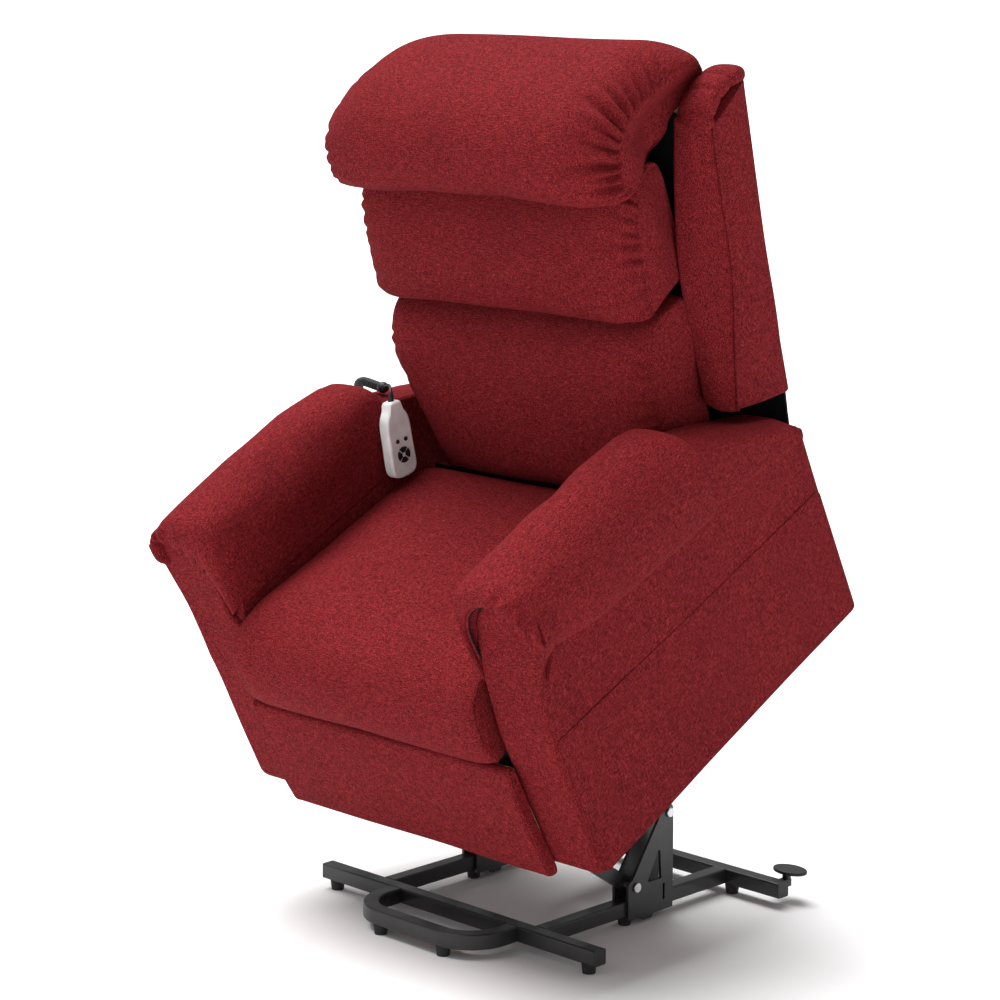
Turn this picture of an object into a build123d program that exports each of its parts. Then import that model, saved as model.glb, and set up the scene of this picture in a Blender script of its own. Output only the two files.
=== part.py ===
"""A lift recliner chair, shown with its lift raised, as an assembly of separate parts.

Every length is in millimetres and every angle in degrees. Two frames are used.
The floor frame has x across the chair, y towards its rear and z up from the floor, with
y = 0 at the front face of the base's front cross tube. The chair frame is the same one
carried by the upholstered chair: its origin lies at the bottom front edge of the side
panels, and raising the lift tips it forward. A point in either frame's side view is (y, z).
"""
from build123d import *
import os
from math import atan2, cos, degrees, hypot, pi, radians, sin, tan

# Pose of the chair frame in the floor frame when the lift is raised
RAISED_TILT = 28.25
RAISED_ORIGIN = (-59, 188)

# Base frame
TUBE = 25
TUBE_WALL = 2
FOOT_HEIGHT = 16
FOOT_RADIUS = 12
TUBE_TOP = FOOT_HEIGHT + TUBE
FRONT_TUBE_HALF = 302
REAR_TUBE_HALF = 291
RAIL_OUTER = 182
RAIL_INNER = RAIL_OUTER - TUBE
REAR_TUBE_Y = 442
LOOP_HALF = 143
LOOP_FRONT_Y = -100
LOOP_RADIUS = 75

# Lift linkage: pivots of the two pairs of arms on the base and, in the chair frame, on the chair
UPPER_PIVOT = (298, 169)
LOWER_PIVOT = (222, 62)
CHAIR_UPPER_PIVOT = (72, 93.1)
CHAIR_LOWER_PIVOT = (34, 46)
ARM_TRAVEL = 26.1
UPPER_ARM_TRAVEL = 24.3
PLATE = 5
ARM_PLATE = 8
PIN_RADIUS = 6
RUNNING_FIT = 0.05
LOOSE_PIVOT = 4.2
TORQUE_TUBE_ALONG = 140
TORQUE_TUBE_RADIUS = 16
LOWER_TUBE_ALONG = 180
LOWER_TUBE_RADIUS = 12

# Actuators: pivots on their frames, and the radius of the rods
ROD_RADIUS = 10
LIFT_TAIL = (450, 64)
LIFT_EYE = (135.4, 131.8)
LIFT_EYE_CLEARANCE = 2.6
RECLINE_TAIL = (190, 168)
RECLINE_LEVER = 90
RECLINE_LEVER_ANGLE = 285
RECLINE_TRAVEL = 30
RECLINE_EYE_CLEARANCE = 3.6
FOOTREST_LEVER = 60
FOOTREST_TRAVEL = 105
FOOTREST_ACTUATOR_REAR = 485
YOKE_CLEARANCE = 3.4
ACTUATOR_X = 60

# Seat, arms and back, in the chair frame
ARM_OUTER = 378
ARM_INNER = 268
ARM_REAR_BOTTOM = 659
ARM_REAR_TOP = (672, 342)
ARM_WALL = 10
PAD_OUTER = 412
PAD_INNER = 262
SEAT_HALF = 265.5
SEAT_RAIL_Z = 205
BACK_PIVOT = (565, 268)
PILLOW_HALF = 262
WING_OUTER = 330
WING_INNER = 272
TONGUE_HALF = 258

# Footrest linkage, closed, in the chair frame
FOOTREST_SHAFT = (120, 185)
REAR_LINK = 150
REAR_LINK_ANGLE = 295
BOARD_PIVOT = (14, 90)
FRONT_LINK_OPEN_ANGLE = 150
FOOTREST_HALF = 280.5

# Handset that hangs against the inner side of one arm
HANDSET_TOP = (434, 463)
HANDSET_BOTTOM = (397, 341)
HANDSET_WIDTH = 54
HANDSET_THICK = 22
HANDSET_BACK_X = -256
BUTTON_TRAVEL = 1
CORD_DIAMETER = 4.5
CURLY_DIAMETER = 16

# Route of the curly cord from its gland over the arm, then of the straight tail to the handset
CURLY_ROUTE = [
    (-394, 524, 98), (-396, 519, 150), (-400, 514, 215), (-402, 507, 300), (-402, 501, 360),
    (-401, 496, 405), (-395, 492, 436), (-372, 488, 450.5), (-340, 482, 451.5), (-305, 474, 453),
]
TAIL_ROUTE = [
    (-305, 474, 453), (-290, 470, 462), (-272, 462, 473), (-256, 452, 477), (-246, 441.5, 473),
    (-245, 434.3, 463.8),
]


# ---------------------------------------------------------------- geometry helpers
def turned(point, angle):
    """A side-view point turned about the origin."""
    c, s = cos(radians(angle)), sin(radians(angle))
    return (point[0] * c - point[1] * s, point[0] * s + point[1] * c)


def polar(centre, length, angle):
    """The side-view point at this length and angle from a centre."""
    return (centre[0] + length * cos(radians(angle)), centre[1] + length * sin(radians(angle)))


def bearing(start, end):
    """The angle, from +y towards +z, of the line from start to end."""
    return degrees(atan2(end[1] - start[1], end[0] - start[0]))


def span(start, end):
    """The distance between two side-view points."""
    return hypot(end[0] - start[0], end[1] - start[1])


def raised(point):
    """A chair-frame side-view point in the floor frame, with the lift raised."""
    y, z = turned(point, RAISED_TILT)
    return (y + RAISED_ORIGIN[0], z + RAISED_ORIGIN[1])


def block(x_range, y_range, z_range):
    """A box between limits."""
    size = [high - low for low, high in (x_range, y_range, z_range)]
    middle = [(high + low) / 2 for low, high in (x_range, y_range, z_range)]
    return Pos(*middle) * Box(*size)


def slab(outline, x_range, radius=0):
    """A plate between two x values, whose side view is the outline with rounded corners."""
    low, high = x_range
    points = [(low, y, z) for y, z in outline]
    if radius:
        wire = FilletPolyline(*points, radius=radius, close=True)
    else:
        wire = Polyline(*points, close=True)
    return extrude(make_face(wire.edges()), amount=high - low, dir=(1, 0, 0))


def rod(centre, x_range, radius):
    """A round bar along x."""
    length = x_range[1] - x_range[0]
    return Pos((x_range[0] + x_range[1]) / 2, *centre) * Rot(0, 90, 0) * Cylinder(radius, length)


def strip(start, end, half_width, x_range, holes=()):
    """A flat link with round ends, and a hole of the given radius at each named point."""
    length = span(start, end)
    middle = ((start[0] + end[0]) / 2, (start[1] + end[1]) / 2)
    x_middle = (x_range[0] + x_range[1]) / 2
    thick = x_range[1] - x_range[0]
    bar = Pos(x_middle, *middle) * Rot(bearing(start, end), 0, 0) * Box(thick, length, 2 * half_width)
    link = bar + rod(start, x_range, half_width) + rod(end, x_range, half_width)
    for point, radius in holes:
        link -= rod(point, (x_range[0] - 1, x_range[1] + 1), radius)
    return link


def square_tube(x_range, y_range, z_range, along):
    """A hollow tube between limits, open at both ends along one axis (0, 1 or 2)."""
    outer = block(x_range, y_range, z_range)
    outer = fillet(outer.edges().filter_by(Axis.X if along == 0 else Axis.Y), 3)
    limits = [x_range, y_range, z_range]
    inner = [(low + TUBE_WALL, high - TUBE_WALL) for low, high in limits]
    inner[along] = (limits[along][0] - 1, limits[along][1] + 1)
    return outer - block(*inner)


def both(solid):
    """A solid and its mirror image on the chair's other side."""
    return [solid, mirror(solid, about=Plane.YZ)]


def on_both(x_range):
    """The two x ranges at the right and left of the chair."""
    return [x_range, (-x_range[1], -x_range[0])]


def route_tube(route, diameter):
    """A round tube along straight runs joined by the largest tangent arcs they allow."""
    points = [Vector(*point) for point in route]
    radii = []
    for before, here, after in zip(points, points[1:], points[2:]):
        turn = (here - before).get_angle(after - here)
        run = min((here - before).length, (after - here).length)
        radii.append(0.45 * run / tan(radians(turn / 2)))
    print("bend radii", [round(radius, 1) for radius in radii], "for diameter", diameter)
    path = FilletPolyline(*points, radius=radii)
    section = Plane(origin=path @ 0, z_dir=path % 0) * Circle(diameter / 2)
    tube = sweep(section, path=path)
    ideal = pi * diameter ** 2 / 4 * path.length
    print("length", round(path.length, 1), "volume ratio", round(tube.volume / ideal, 4))
    return tube


# ---------------------------------------------------------------- base
def front_cross_tube():
    return [square_tube((-FRONT_TUBE_HALF, FRONT_TUBE_HALF), (0, TUBE), (FOOT_HEIGHT, TUBE_TOP), 0)]


def rear_cross_tube():
    y_range = (REAR_TUBE_Y, REAR_TUBE_Y + TUBE)
    return [square_tube((-REAR_TUBE_HALF, REAR_TUBE_HALF), y_range, (FOOT_HEIGHT, TUBE_TOP), 0)]


def side_rails():
    rail = square_tube((RAIL_INNER, RAIL_OUTER), (TUBE, REAR_TUBE_Y), (FOOT_HEIGHT, TUBE_TOP), 1)
    return both(rail)


def front_loop_tube():
    """The U-shaped tube that runs out in front of the front cross tube and back."""
    middle = TUBE / 2
    z = FOOT_HEIGHT + middle
    side = LOOP_HALF - middle
    front = LOOP_FRONT_Y + middle
    bend = LOOP_RADIUS - middle
    path = FilletPolyline((side, 0, z), (side, front, z), (-side, front, z), (-side, 0, z), radius=bend)
    start = Plane(origin=(side, 0, z), x_dir=(1, 0, 0), z_dir=(0, -1, 0))
    solid = sweep(start * RectangleRounded(TUBE, TUBE, 3), path=path)
    bore = sweep(start * Rectangle(TUBE - 2 * TUBE_WALL, TUBE - 2 * TUBE_WALL), path=path)
    return [solid - bore]


def tube_end_caps():
    """Plastic plugs in the open ends of the two cross tubes."""
    caps = []
    for half, y in ((FRONT_TUBE_HALF, 0), (REAR_TUBE_HALF, REAR_TUBE_Y)):
        z_range = (FOOT_HEIGHT, TUBE_TOP)
        plate = block((half, half + 3), (y, y + TUBE), z_range)
        plate = fillet(plate.edges().filter_by(Axis.X), 3)
        inset = TUBE_WALL + 0.1
        stem_y = (y + inset, y + TUBE - inset)
        stem_z = (FOOT_HEIGHT + inset, TUBE_TOP - inset)
        stem = block((half - 14, half), stem_y, stem_z)
        caps += both(plate + stem)
    return caps


def rubber_feet():
    """Round feet under the ends of the cross tubes, the loop and the rear of the rails."""
    places = [(282, 12.5), (70, LOOP_FRONT_Y + 12.5), (187, REAR_TUBE_Y + 12.5), (169.5, 214)]
    feet = []
    for x, y in places:
        foot = Pos(x, y, FOOT_HEIGHT / 2) * Cone(FOOT_RADIUS - 2, FOOT_RADIUS, FOOT_HEIGHT)
        feet += both(foot)
    return feet


def pivot_brackets():
    """Four A-shaped plates that flank the rails and carry both pairs of lift arms."""
    outline = [(204, 11), (204, 70), (214, 76), (283, 176), (290, 181), (305, 181),
               (308, 174), (308, 11), (262, 11), (259, 5), (238, 5), (234, 11)]
    window = [(277, 118), (281, 64), (247, 64)]
    slot = [(284, 55), (289, 55), (289, 28), (284, 28)]
    plates = []
    for x_range in ((RAIL_OUTER, RAIL_OUTER + PLATE), (RAIL_INNER - PLATE, RAIL_INNER)):
        wide = (x_range[0] - 1, x_range[1] + 1)
        plate = slab(outline, x_range, 2.5) - slab(window, wide, 2.5) - slab(slot, wide, 1.2)
        for pivot in (UPPER_PIVOT, LOWER_PIVOT):
            plate -= rod(pivot, wide, PIN_RADIUS)
        plates += both(plate)
    return plates


def base_pivot_pins():
    """Rivets through each pair of bracket plates, with domed heads outside."""
    pins = []
    for pivot in (UPPER_PIVOT, LOWER_PIVOT):
        shank = rod(pivot, (RAIL_INNER - PLATE, RAIL_OUTER + PLATE), PIN_RADIUS)
        head = fillet(rod(pivot, (RAIL_OUTER + PLATE, RAIL_OUTER + PLATE + 4), 8).edges(), 1.5)
        tail = rod(pivot, (RAIL_INNER - PLATE - 3, RAIL_INNER - PLATE), 8)
        pins += both(shank + head + tail)
    return pins


def rear_floor_pads():
    """Oval pads on short necks at the rear corners of the base."""
    pads = []
    neck = block((262, 276), (REAR_TUBE_Y + TUBE, REAR_TUBE_Y + TUBE + 30), (22, 34))
    stem = Pos(269, REAR_TUBE_Y + TUBE + 26, 40) * Cylinder(7, 12)
    disc = Pos(276, REAR_TUBE_Y + TUBE + 26, 49) * extrude(Ellipse(31, 21), amount=3, both=True)
    pads += both(neck + stem + fillet(disc.edges(), 2))
    return pads


def lift_actuator_clevis():
    """Two ears on the rear cross tube, with the pin of the lift actuator's tail."""
    outline = [(438, TUBE_TOP), (466, TUBE_TOP), (466, 56), (458, 76), (442, 76), (438, 56)]
    ears = [slab(outline, x_range, 3) for x_range in on_both((8, 13))]
    pin = rod(LIFT_TAIL, (-15, 15), PIN_RADIUS)
    return [ears[0] + pin + ears[1]]


# ---------------------------------------------------------------- lift arms
LOWER_ARM_X = (158, 166)
UPPER_ARM_X = (174, 181)
CHAIR_PLATE_X = (167, 173)


def lower_lift_arms():
    far = raised(CHAIR_LOWER_PIVOT)
    hole = PIN_RADIUS + RUNNING_FIT
    arms = [strip(LOWER_PIVOT, far, 12, x_range, ((LOWER_PIVOT, hole), (far, hole)))
            for x_range in on_both(LOWER_ARM_X)]
    return arms


def lower_cross_tube():
    centre = polar(LOWER_PIVOT, LOWER_TUBE_ALONG, bearing(LOWER_PIVOT, raised(CHAIR_LOWER_PIVOT)))
    half = LOWER_ARM_X[0]
    bore = rod(centre, (-half - 1, half + 1), LOWER_TUBE_RADIUS - 2)
    return [rod(centre, (-half, half), LOWER_TUBE_RADIUS) - bore]


def torque_tube_centre():
    return polar(UPPER_PIVOT, TORQUE_TUBE_ALONG, bearing(UPPER_PIVOT, raised(CHAIR_UPPER_PIVOT)))


def upper_lift_arms():
    far = raised(CHAIR_UPPER_PIVOT)
    near_hole = PIN_RADIUS + RUNNING_FIT
    holes = ((UPPER_PIVOT, near_hole), (far, PIN_RADIUS + LOOSE_PIVOT))
    arms = []
    for x_range in on_both(UPPER_ARM_X):
        wide = (x_range[0] - 1, x_range[1] + 1)
        arm = strip(UPPER_PIVOT, far, 12, x_range) + rod(far, x_range, 18)
        for centre, radius in holes:
            arm -= rod(centre, wide, radius)
        arms.append(arm)
    return arms


def lift_torque_tube():
    """The tube between the upper arms, with the fork that the lift actuator pushes."""
    centre = torque_tube_centre()
    half = UPPER_ARM_X[0]
    tube = rod(centre, (-half, half), TORQUE_TUBE_RADIUS)
    tube -= rod(centre, (-half - 1, half + 1), TORQUE_TUBE_RADIUS - 3)
    for x_range in on_both((10, 16)):
        ear = strip(centre, LIFT_EYE, 14, x_range) - rod(centre, (-half, half), TORQUE_TUBE_RADIUS - 1)
        tube += ear
    return [tube + rod(LIFT_EYE, (-18, 18), PIN_RADIUS)]


# ---------------------------------------------------------------- actuators
def actuator_housing(length, tail_radius, motor_side):
    """Gear case, outer tube and motor, along +y from the tail pivot at the origin."""
    case = fillet(block((-26, 26), (22, 82), (-24, 24)).edges(), 6)
    lug = block((-7, 7), (0, 24), (-10, 10)) + rod((0, 0), (-7, 7), 10)
    tube = Pos(0, (80 + length) / 2, 0) * Rot(90, 0, 0) * Cylinder(18, length - 80)
    motor = Pos(motor_side * 24, 118, 0) * Rot(90, 0, 0) * Cylinder(20, 90)
    bore = Pos(0, (70 + length) / 2, 0) * Rot(90, 0, 0) * Cylinder(ROD_RADIUS + RUNNING_FIT, length - 60)
    housing = case + lug + tube + motor
    return housing - bore - rod((0, 0), (-8, 8), tail_radius + RUNNING_FIT)


def actuator_rod(start, end, hole_radius):
    """The rod along +y, whose eye is centred at its end."""
    tip = end - hole_radius - 2
    shank = Pos(0, (start + tip) / 2, 0) * Rot(90, 0, 0) * Cylinder(ROD_RADIUS, tip - start)
    eye = rod((end, 0), (-8, 8), hole_radius + 7)
    return shank + eye - rod((end, 0), (-9, 9), hole_radius)


def placed(solid, tail, eye, x):
    """A solid built along +y from the origin, laid from the tail pivot towards the eye."""
    return Pos(x, *tail) * Rot(bearing(tail, eye), 0, 0) * solid


def lift_actuator():
    length = span(LIFT_TAIL, LIFT_EYE)
    housing = placed(actuator_housing(232, PIN_RADIUS, 1), LIFT_TAIL, LIFT_EYE, 0)
    shank = actuator_rod(128, length, PIN_RADIUS + LIFT_EYE_CLEARANCE)
    return housing, placed(shank, LIFT_TAIL, LIFT_EYE, 0)


def recline_eye():
    return polar(BACK_PIVOT, RECLINE_LEVER, RECLINE_LEVER_ANGLE)


def recline_actuator():
    length = span(RECLINE_TAIL, recline_eye())
    housing = placed(actuator_housing(300, PIN_RADIUS, -1), RECLINE_TAIL, recline_eye(), -ACTUATOR_X)
    shank = actuator_rod(150, length, PIN_RADIUS + RECLINE_EYE_CLEARANCE)
    return housing, placed(shank, RECLINE_TAIL, recline_eye(), -ACTUATOR_X)


def footrest_lever_tip():
    """The lever's tip when the footrest is closed; it swings equally to both sides of down."""
    return polar(FOOTREST_SHAFT, FOOTREST_LEVER, 270 + FOOTREST_TRAVEL / 2)


def footrest_actuator():
    """A housing clamped under the seat, and a rod whose slotted yoke drives the lever's pin."""
    y, z = footrest_lever_tip()
    rear = FOOTREST_ACTUATOR_REAR
    housing = actuator_housing(190, PIN_RADIUS, -1)
    housing = Pos(ACTUATOR_X, rear, z) * Rot(180, 0, 0) * housing
    x_range = (ACTUATOR_X - 20, ACTUATOR_X + 20)
    hanger = block(x_range, (rear - 75, rear - 45), (z + 23, SEAT_RAIL_Z + 8))
    reach = block(x_range, (rear - 75, rear - 5), (SEAT_RAIL_Z, SEAT_RAIL_Z + 8))
    housing += hanger + reach
    shank_end = rear - 105
    yoke_front, yoke_rear = y - 19, y + 19
    length = shank_end - yoke_rear + 1
    shank = Pos(ACTUATOR_X, shank_end - length / 2, z) * Rot(90, 0, 0) * Cylinder(ROD_RADIUS, length)
    slot_half = PIN_RADIUS + YOKE_CLEARANCE
    bottom = FOOTREST_SHAFT[1] - FOOTREST_LEVER - slot_half - 1
    top = z + slot_half + 1
    yoke = block((ACTUATOR_X - 6, ACTUATOR_X + 6), (yoke_front, yoke_rear), (bottom - 8, top + 8))
    yoke = fillet(yoke.edges().filter_by(Axis.X), 8)
    window = block((ACTUATOR_X - 9, ACTUATOR_X + 9), (y - slot_half, y + slot_half), (bottom, top))
    return housing, shank + yoke - window


# ---------------------------------------------------------------- seat frame
def seat_frame_rails():
    """Two side rails and three cross rails, with the clevis of the recline actuator's tail."""
    rails = []
    for y, half in ((40, 236), (172, 231), (480, 231)):
        rails.append(square_tube((-half, half), (y, y + TUBE), (SEAT_RAIL_Z, SEAT_RAIL_Z + TUBE), 0))
    y, z = RECLINE_TAIL
    outline = [(y - 12, SEAT_RAIL_Z), (y + 7, SEAT_RAIL_Z), (y + 11, z - 4), (y + 4, z - 11),
               (y - 8, z - 11), (y - 12, z)]
    clevis = rod(RECLINE_TAIL, (-ACTUATOR_X - 15, -ACTUATOR_X + 15), PIN_RADIUS)
    for start in (-ACTUATOR_X - 13, -ACTUATOR_X + 8):
        clevis += slab(outline, (start, start + 5), 3)
    rails[1] += clevis
    return rails + both(square_tube((236, 261), (40, 505), (SEAT_RAIL_Z, SEAT_RAIL_Z + TUBE), 1))


def mechanism_plates():
    """Side plates of the recliner mechanism: footrest shaft in front, back hinge at the rear."""
    outline = [(88, 168), (102, 158), (140, 158), (200, 196), (500, 196), (545, 236),
               (588, 250), (590, 288), (545, 290), (500, 231), (105, 231), (88, 205)]
    plate = slab(outline, (231, 236), 6)
    plate -= rod(FOOTREST_SHAFT, (230, 237), ROD_RADIUS + RUNNING_FIT)
    plate -= rod(BACK_PIVOT, (230, 237), 11 + RUNNING_FIT)
    return both(plate)


def chair_pivot_plates():
    """Plates welded behind the seat's front rail, which hang on the lift arms."""
    lower, upper = CHAIR_LOWER_PIVOT, CHAIR_UPPER_PIVOT
    outline = [(lower[0] - 14, lower[1] - 10), (lower[0] + 10, lower[1] - 16),
               (upper[0] + 18, upper[1] - 14), (upper[0] + 22, 140), (100, 230), (65, 230), (65, 150)]
    plate = slab(outline, CHAIR_PLATE_X, 5)
    for pivot in (lower, upper):
        plate -= rod(pivot, (CHAIR_PLATE_X[0] - 1, CHAIR_PLATE_X[1] + 1), PIN_RADIUS)
    return both(plate)


def chair_pivot_pins():
    """Pins fixed in the chair's pivot plates: one inwards, one outwards on each side."""
    lower = rod(CHAIR_LOWER_PIVOT, (LOWER_ARM_X[0] - 2, CHAIR_PLATE_X[1]), PIN_RADIUS)
    lower += rod(CHAIR_LOWER_PIVOT, (LOWER_ARM_X[0] - 5, LOWER_ARM_X[0] - 2), 9)
    upper = rod(CHAIR_UPPER_PIVOT, (CHAIR_PLATE_X[0], UPPER_ARM_X[1] + 2), PIN_RADIUS)
    upper += rod(CHAIR_UPPER_PIVOT, (UPPER_ARM_X[1] + 2, UPPER_ARM_X[1] + 5), 13)
    return both(lower) + both(upper)


def seat_springs():
    """Five flat zigzag springs from the front rail to the rear rail."""
    wire, pitch, half, rise = 4, 22, 24, SEAT_RAIL_Z + TUBE + 2
    springs = []
    for x in (-200, -100, 0, 100, 200):
        points = [(x, 52, rise)]
        for index in range(19):
            side = half if index % 2 else -half
            points += [(x + side, 62 + index * pitch, rise), (x + side, 62 + (index + 0.8) * pitch, rise)]
        points.append((x, 494, rise))
        path = FilletPolyline(*points, radius=7)
        section = Plane(origin=path @ 0, z_dir=path % 0) * Circle(wire / 2)
        springs.append(sweep(section, path=path, transition=Transition.ROUND))
    return springs


def seat_cushion():
    """The cushion, whose front lip hangs down in front of the front rail."""
    outline = [(-14, 192), (-27, 225), (-28, 285), (-10, 325), (45, 343), (440, 322), (465, 308),
               (466, 241), (34, 241), (10, 200)]
    return [slab(outline, (-SEAT_HALF, SEAT_HALF), 3.5)]


# ---------------------------------------------------------------- arms
ARM_SIDE = [(0, 0), (ARM_REAR_BOTTOM, 0), ARM_REAR_TOP, (554, 405), (456, 448), (443, 450),
            (443, 400), (40, 400), (9, 244)]


def arm_shell(side):
    """The upholstered box of one arm: two cheeks, rear wall and top, open below and in front."""
    x_range = (ARM_INNER, ARM_OUTER)
    solid = slab(ARM_SIDE, x_range)
    hollow = [(-20, -10), (ARM_REAR_BOTTOM - 10, -10), (661, 335), (550, 393), (453, 438),
              (453, 390), (20, 390), (-20, 244)]
    solid -= slab(hollow, (ARM_INNER + ARM_WALL, ARM_OUTER - ARM_WALL))
    front = [(-1, -1), (8, -1), (17, 243), (48, 399.5), (30, 401), (8.5, 244)]
    shell = solid - slab(front, (ARM_INNER - 1, ARM_OUTER + 1))
    return shell if side > 0 else mirror(shell, about=Plane.YZ)


def arm_front_panel(side):
    """The padded board that closes the arm's front, under the roll of the pad."""
    outline = [(0, 0), (8, 0), (17, 243), (47, 399.5), (40, 399.5), (9, 244)]
    panel = slab(outline, (ARM_INNER, ARM_OUTER))
    return panel if side > 0 else mirror(panel, about=Plane.YZ)


def arm_wood_frames():
    """Two posts and three rails of timber inside each arm, glued face to face."""
    x_range = (ARM_INNER + ARM_WALL + 4, ARM_OUTER - ARM_WALL - 4)
    bars = [
        slab([(30, 20), (52, 20), (78, 385), (56, 385)], x_range),
        slab([(610, 20), (632, 20), (640, 330), (618, 340)], x_range),
        block(x_range, (53, 609), (20, 42)),
        slab([(78, 210), (616, 210), (616, 188), (76, 188)], x_range),
        slab([(80, 380), (440, 380), (440, 358), (80, 358)], x_range),
    ]
    frames = []
    for bar in bars:
        frames += both(bar)
    return frames


def arm_pad(side):
    """The thick rolled pad on the arm, lofted along the arm; its outer lip hangs over the box."""
    stations = [(34, 372, 494, 400), (60, 370, 508, 404), (180, 363, 516, 404), (310, 355, 514, 404),
                (400, 350, 502, 404), (441, 352, 480, 420)]
    sections = []
    for y, lip, crown, base in stations:
        rise = crown - base
        roll = [(PAD_INNER, 0.2), (PAD_INNER + 3, 0.75), (PAD_INNER + 18, 0.94), (PAD_INNER + 75, 1),
                (PAD_INNER + 120, 0.94), (PAD_OUTER - 10, 0.78), (PAD_OUTER, 0.3)]
        points = [(x, base + share * rise) for x, share in roll]
        points += [(PAD_OUTER - 6, lip + 18), (PAD_OUTER - 18, lip), (ARM_OUTER + 0.5, lip + 2),
                   (ARM_OUTER + 0.5, 401), (PAD_INNER + 8, 401)]
        sections.append(make_face(Polyline(*[(x, y, z) for x, z in points], close=True).edges()))
    pad = loft(sections, ruled=True)
    return pad if side > 0 else mirror(pad, about=Plane.YZ)


# ---------------------------------------------------------------- back
def back_frame():
    """Two posts from the back hinge up behind the pillows, and four flat bars between them."""
    outline = [(553, 262), (565, 255), (578, 262), (640, 330), (655, 360), (777, 830), (751, 836),
               (630, 366), (620, 345), (553, 278)]
    post = slab(outline, (238, 262), 4)
    frame = both(post - rod(BACK_PIVOT, (237, 263), 11))
    for z in (380, 520, 660, 800):
        y = 643 + (z - 360) * 0.2596
        frame.append(block((-238, 238), (y - 9, y + 9), (z - 20, z + 20)))
    return frame


def back_drive_tube():
    """The hinge tube of the back, with the fork that the recline actuator pulls."""
    tube = rod(BACK_PIVOT, (-262, 262), 11)
    tip = recline_eye()
    for x_range in ((-ACTUATOR_X - 16, -ACTUATOR_X - 10), (-ACTUATOR_X + 10, -ACTUATOR_X + 16)):
        tube += strip(BACK_PIVOT, tip, 14, x_range)
    return [tube + rod(tip, (-ACTUATOR_X - 18, -ACTUATOR_X + 18), PIN_RADIUS)]


def back_outer_panel():
    """The upholstered panel that closes the rear of the back, and hangs on between the arms."""
    outline = [(725, 357), (775, 583), (846, 842), (836, 845), (765, 585), (715, 359)]
    tongue = [(725, 358), (670, 165), (660, 165), (715, 360)]
    return [slab(outline, (-WING_OUTER, WING_OUTER)) + slab(tongue, (-TONGUE_HALF, TONGUE_HALF))]


def wing(side):
    """The padded side of the back, from its outer panel to the rolled front border."""
    outer = [(602, 401), (622, 397), (714.5, 363), (764.5, 585), (835, 842), (775, 843),
             (744, 808), (689, 601)]
    inner = [(594, 418), (616, 408), (714.5, 372), (764.5, 585), (835, 842), (770, 848),
             (730, 832), (636, 629)]
    faces = []
    for x, outline in ((WING_INNER, inner), (WING_OUTER, outer)):
        faces.append(make_face(Polyline(*[(x, y, z) for y, z in outline], close=True).edges()))
    body = loft(faces, ruled=True)
    return body if side > 0 else mirror(body, about=Plane.YZ)


def lower_back_pillow():
    outline = [(480, 290), (471, 340), (468, 441), (485, 530), (512, 584), (560, 600), (645, 596),
               (632, 420), (606, 340), (560, 300)]
    return [slab(outline, (-PILLOW_HALF, PILLOW_HALF), 8)]


def middle_back_pillow():
    outline = [(512, 596), (522, 640), (537, 710), (565, 775), (610, 800), (690, 798), (672, 690),
               (650, 606), (600, 609), (560, 607)]
    return [slab(outline, (-PILLOW_HALF, PILLOW_HALF), 6)]


def head_back_pillow():
    outline = [(560, 782), (532, 803), (528, 850), (545, 905), (600, 942), (690, 958), (760, 955),
               (815, 918), (840, 868), (832, 852), (732, 850), (706, 812), (620, 812)]
    return [slab(outline, (-PILLOW_HALF, PILLOW_HALF), 5)]


# ---------------------------------------------------------------- footrest
def rear_link_end():
    return polar(FOOTREST_SHAFT, REAR_LINK, REAR_LINK_ANGLE)


def footrest_drive_shaft():
    """The shaft of the footrest, with the lever that its actuator pushes."""
    shaft = rod(FOOTREST_SHAFT, (-235.8, 235.8), ROD_RADIUS)
    tip = footrest_lever_tip()
    for x_range in ((ACTUATOR_X - 17, ACTUATOR_X - 11), (ACTUATOR_X + 11, ACTUATOR_X + 17)):
        shaft += strip(FOOTREST_SHAFT, tip, 10, x_range)
    return [shaft + rod(tip, (ACTUATOR_X - 19, ACTUATOR_X + 19), PIN_RADIUS)]


def footrest_rear_links():
    end = rear_link_end()
    holes = ((FOOTREST_SHAFT, ROD_RADIUS), (end, PIN_RADIUS))
    return [strip(FOOTREST_SHAFT, end, 13, x_range, holes) for x_range in on_both((206, 212))]


def footrest_front_links():
    end = rear_link_end()
    holes = [(point, PIN_RADIUS + RUNNING_FIT) for point in (end, BOARD_PIVOT)]
    return [strip(end, BOARD_PIVOT, 11, x_range, holes) for x_range in on_both((213, 219))]


def footrest_link_pins():
    """Pins fixed in the rear links, on which the front links turn."""
    end = rear_link_end()
    return both(rod(end, (206, 221), PIN_RADIUS) + rod(end, (219.5, 222.5), 9))


def footrest_board():
    """The board, with a bracket at each side for the front links."""
    board = block((-FOOTREST_HALF, FOOTREST_HALF), (-12, -2), (-10, 186))
    board = fillet(board.edges().filter_by(Axis.Y), 6)
    y, z = BOARD_PIVOT
    outline = [(-2, z + 26), (-2, z - 26), (y + 6, z - 12), (y + 12, z), (y + 6, z + 12)]
    bracket = slab(outline, (206, 212), 4) + rod(BOARD_PIVOT, (207, 221), PIN_RADIUS)
    for side in both(bracket):
        board += side
    return [board]


def footrest_pad():
    """The padded cover on the front of the board."""
    outline = [(-12.3, -12), (-20, -12), (-23, 30), (-23, 140), (-19, 187), (-12.3, 187)]
    return [slab(outline, (-FOOTREST_HALF, FOOTREST_HALF), 2)]


# ---------------------------------------------------------------- electrics
def control_box():
    box = fillet(block((100, 220), (512, 582), (150, 192)).edges(), 4)
    lid = block((110, 210), (505, 512), (160, 205))
    return [box + lid]


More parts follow.
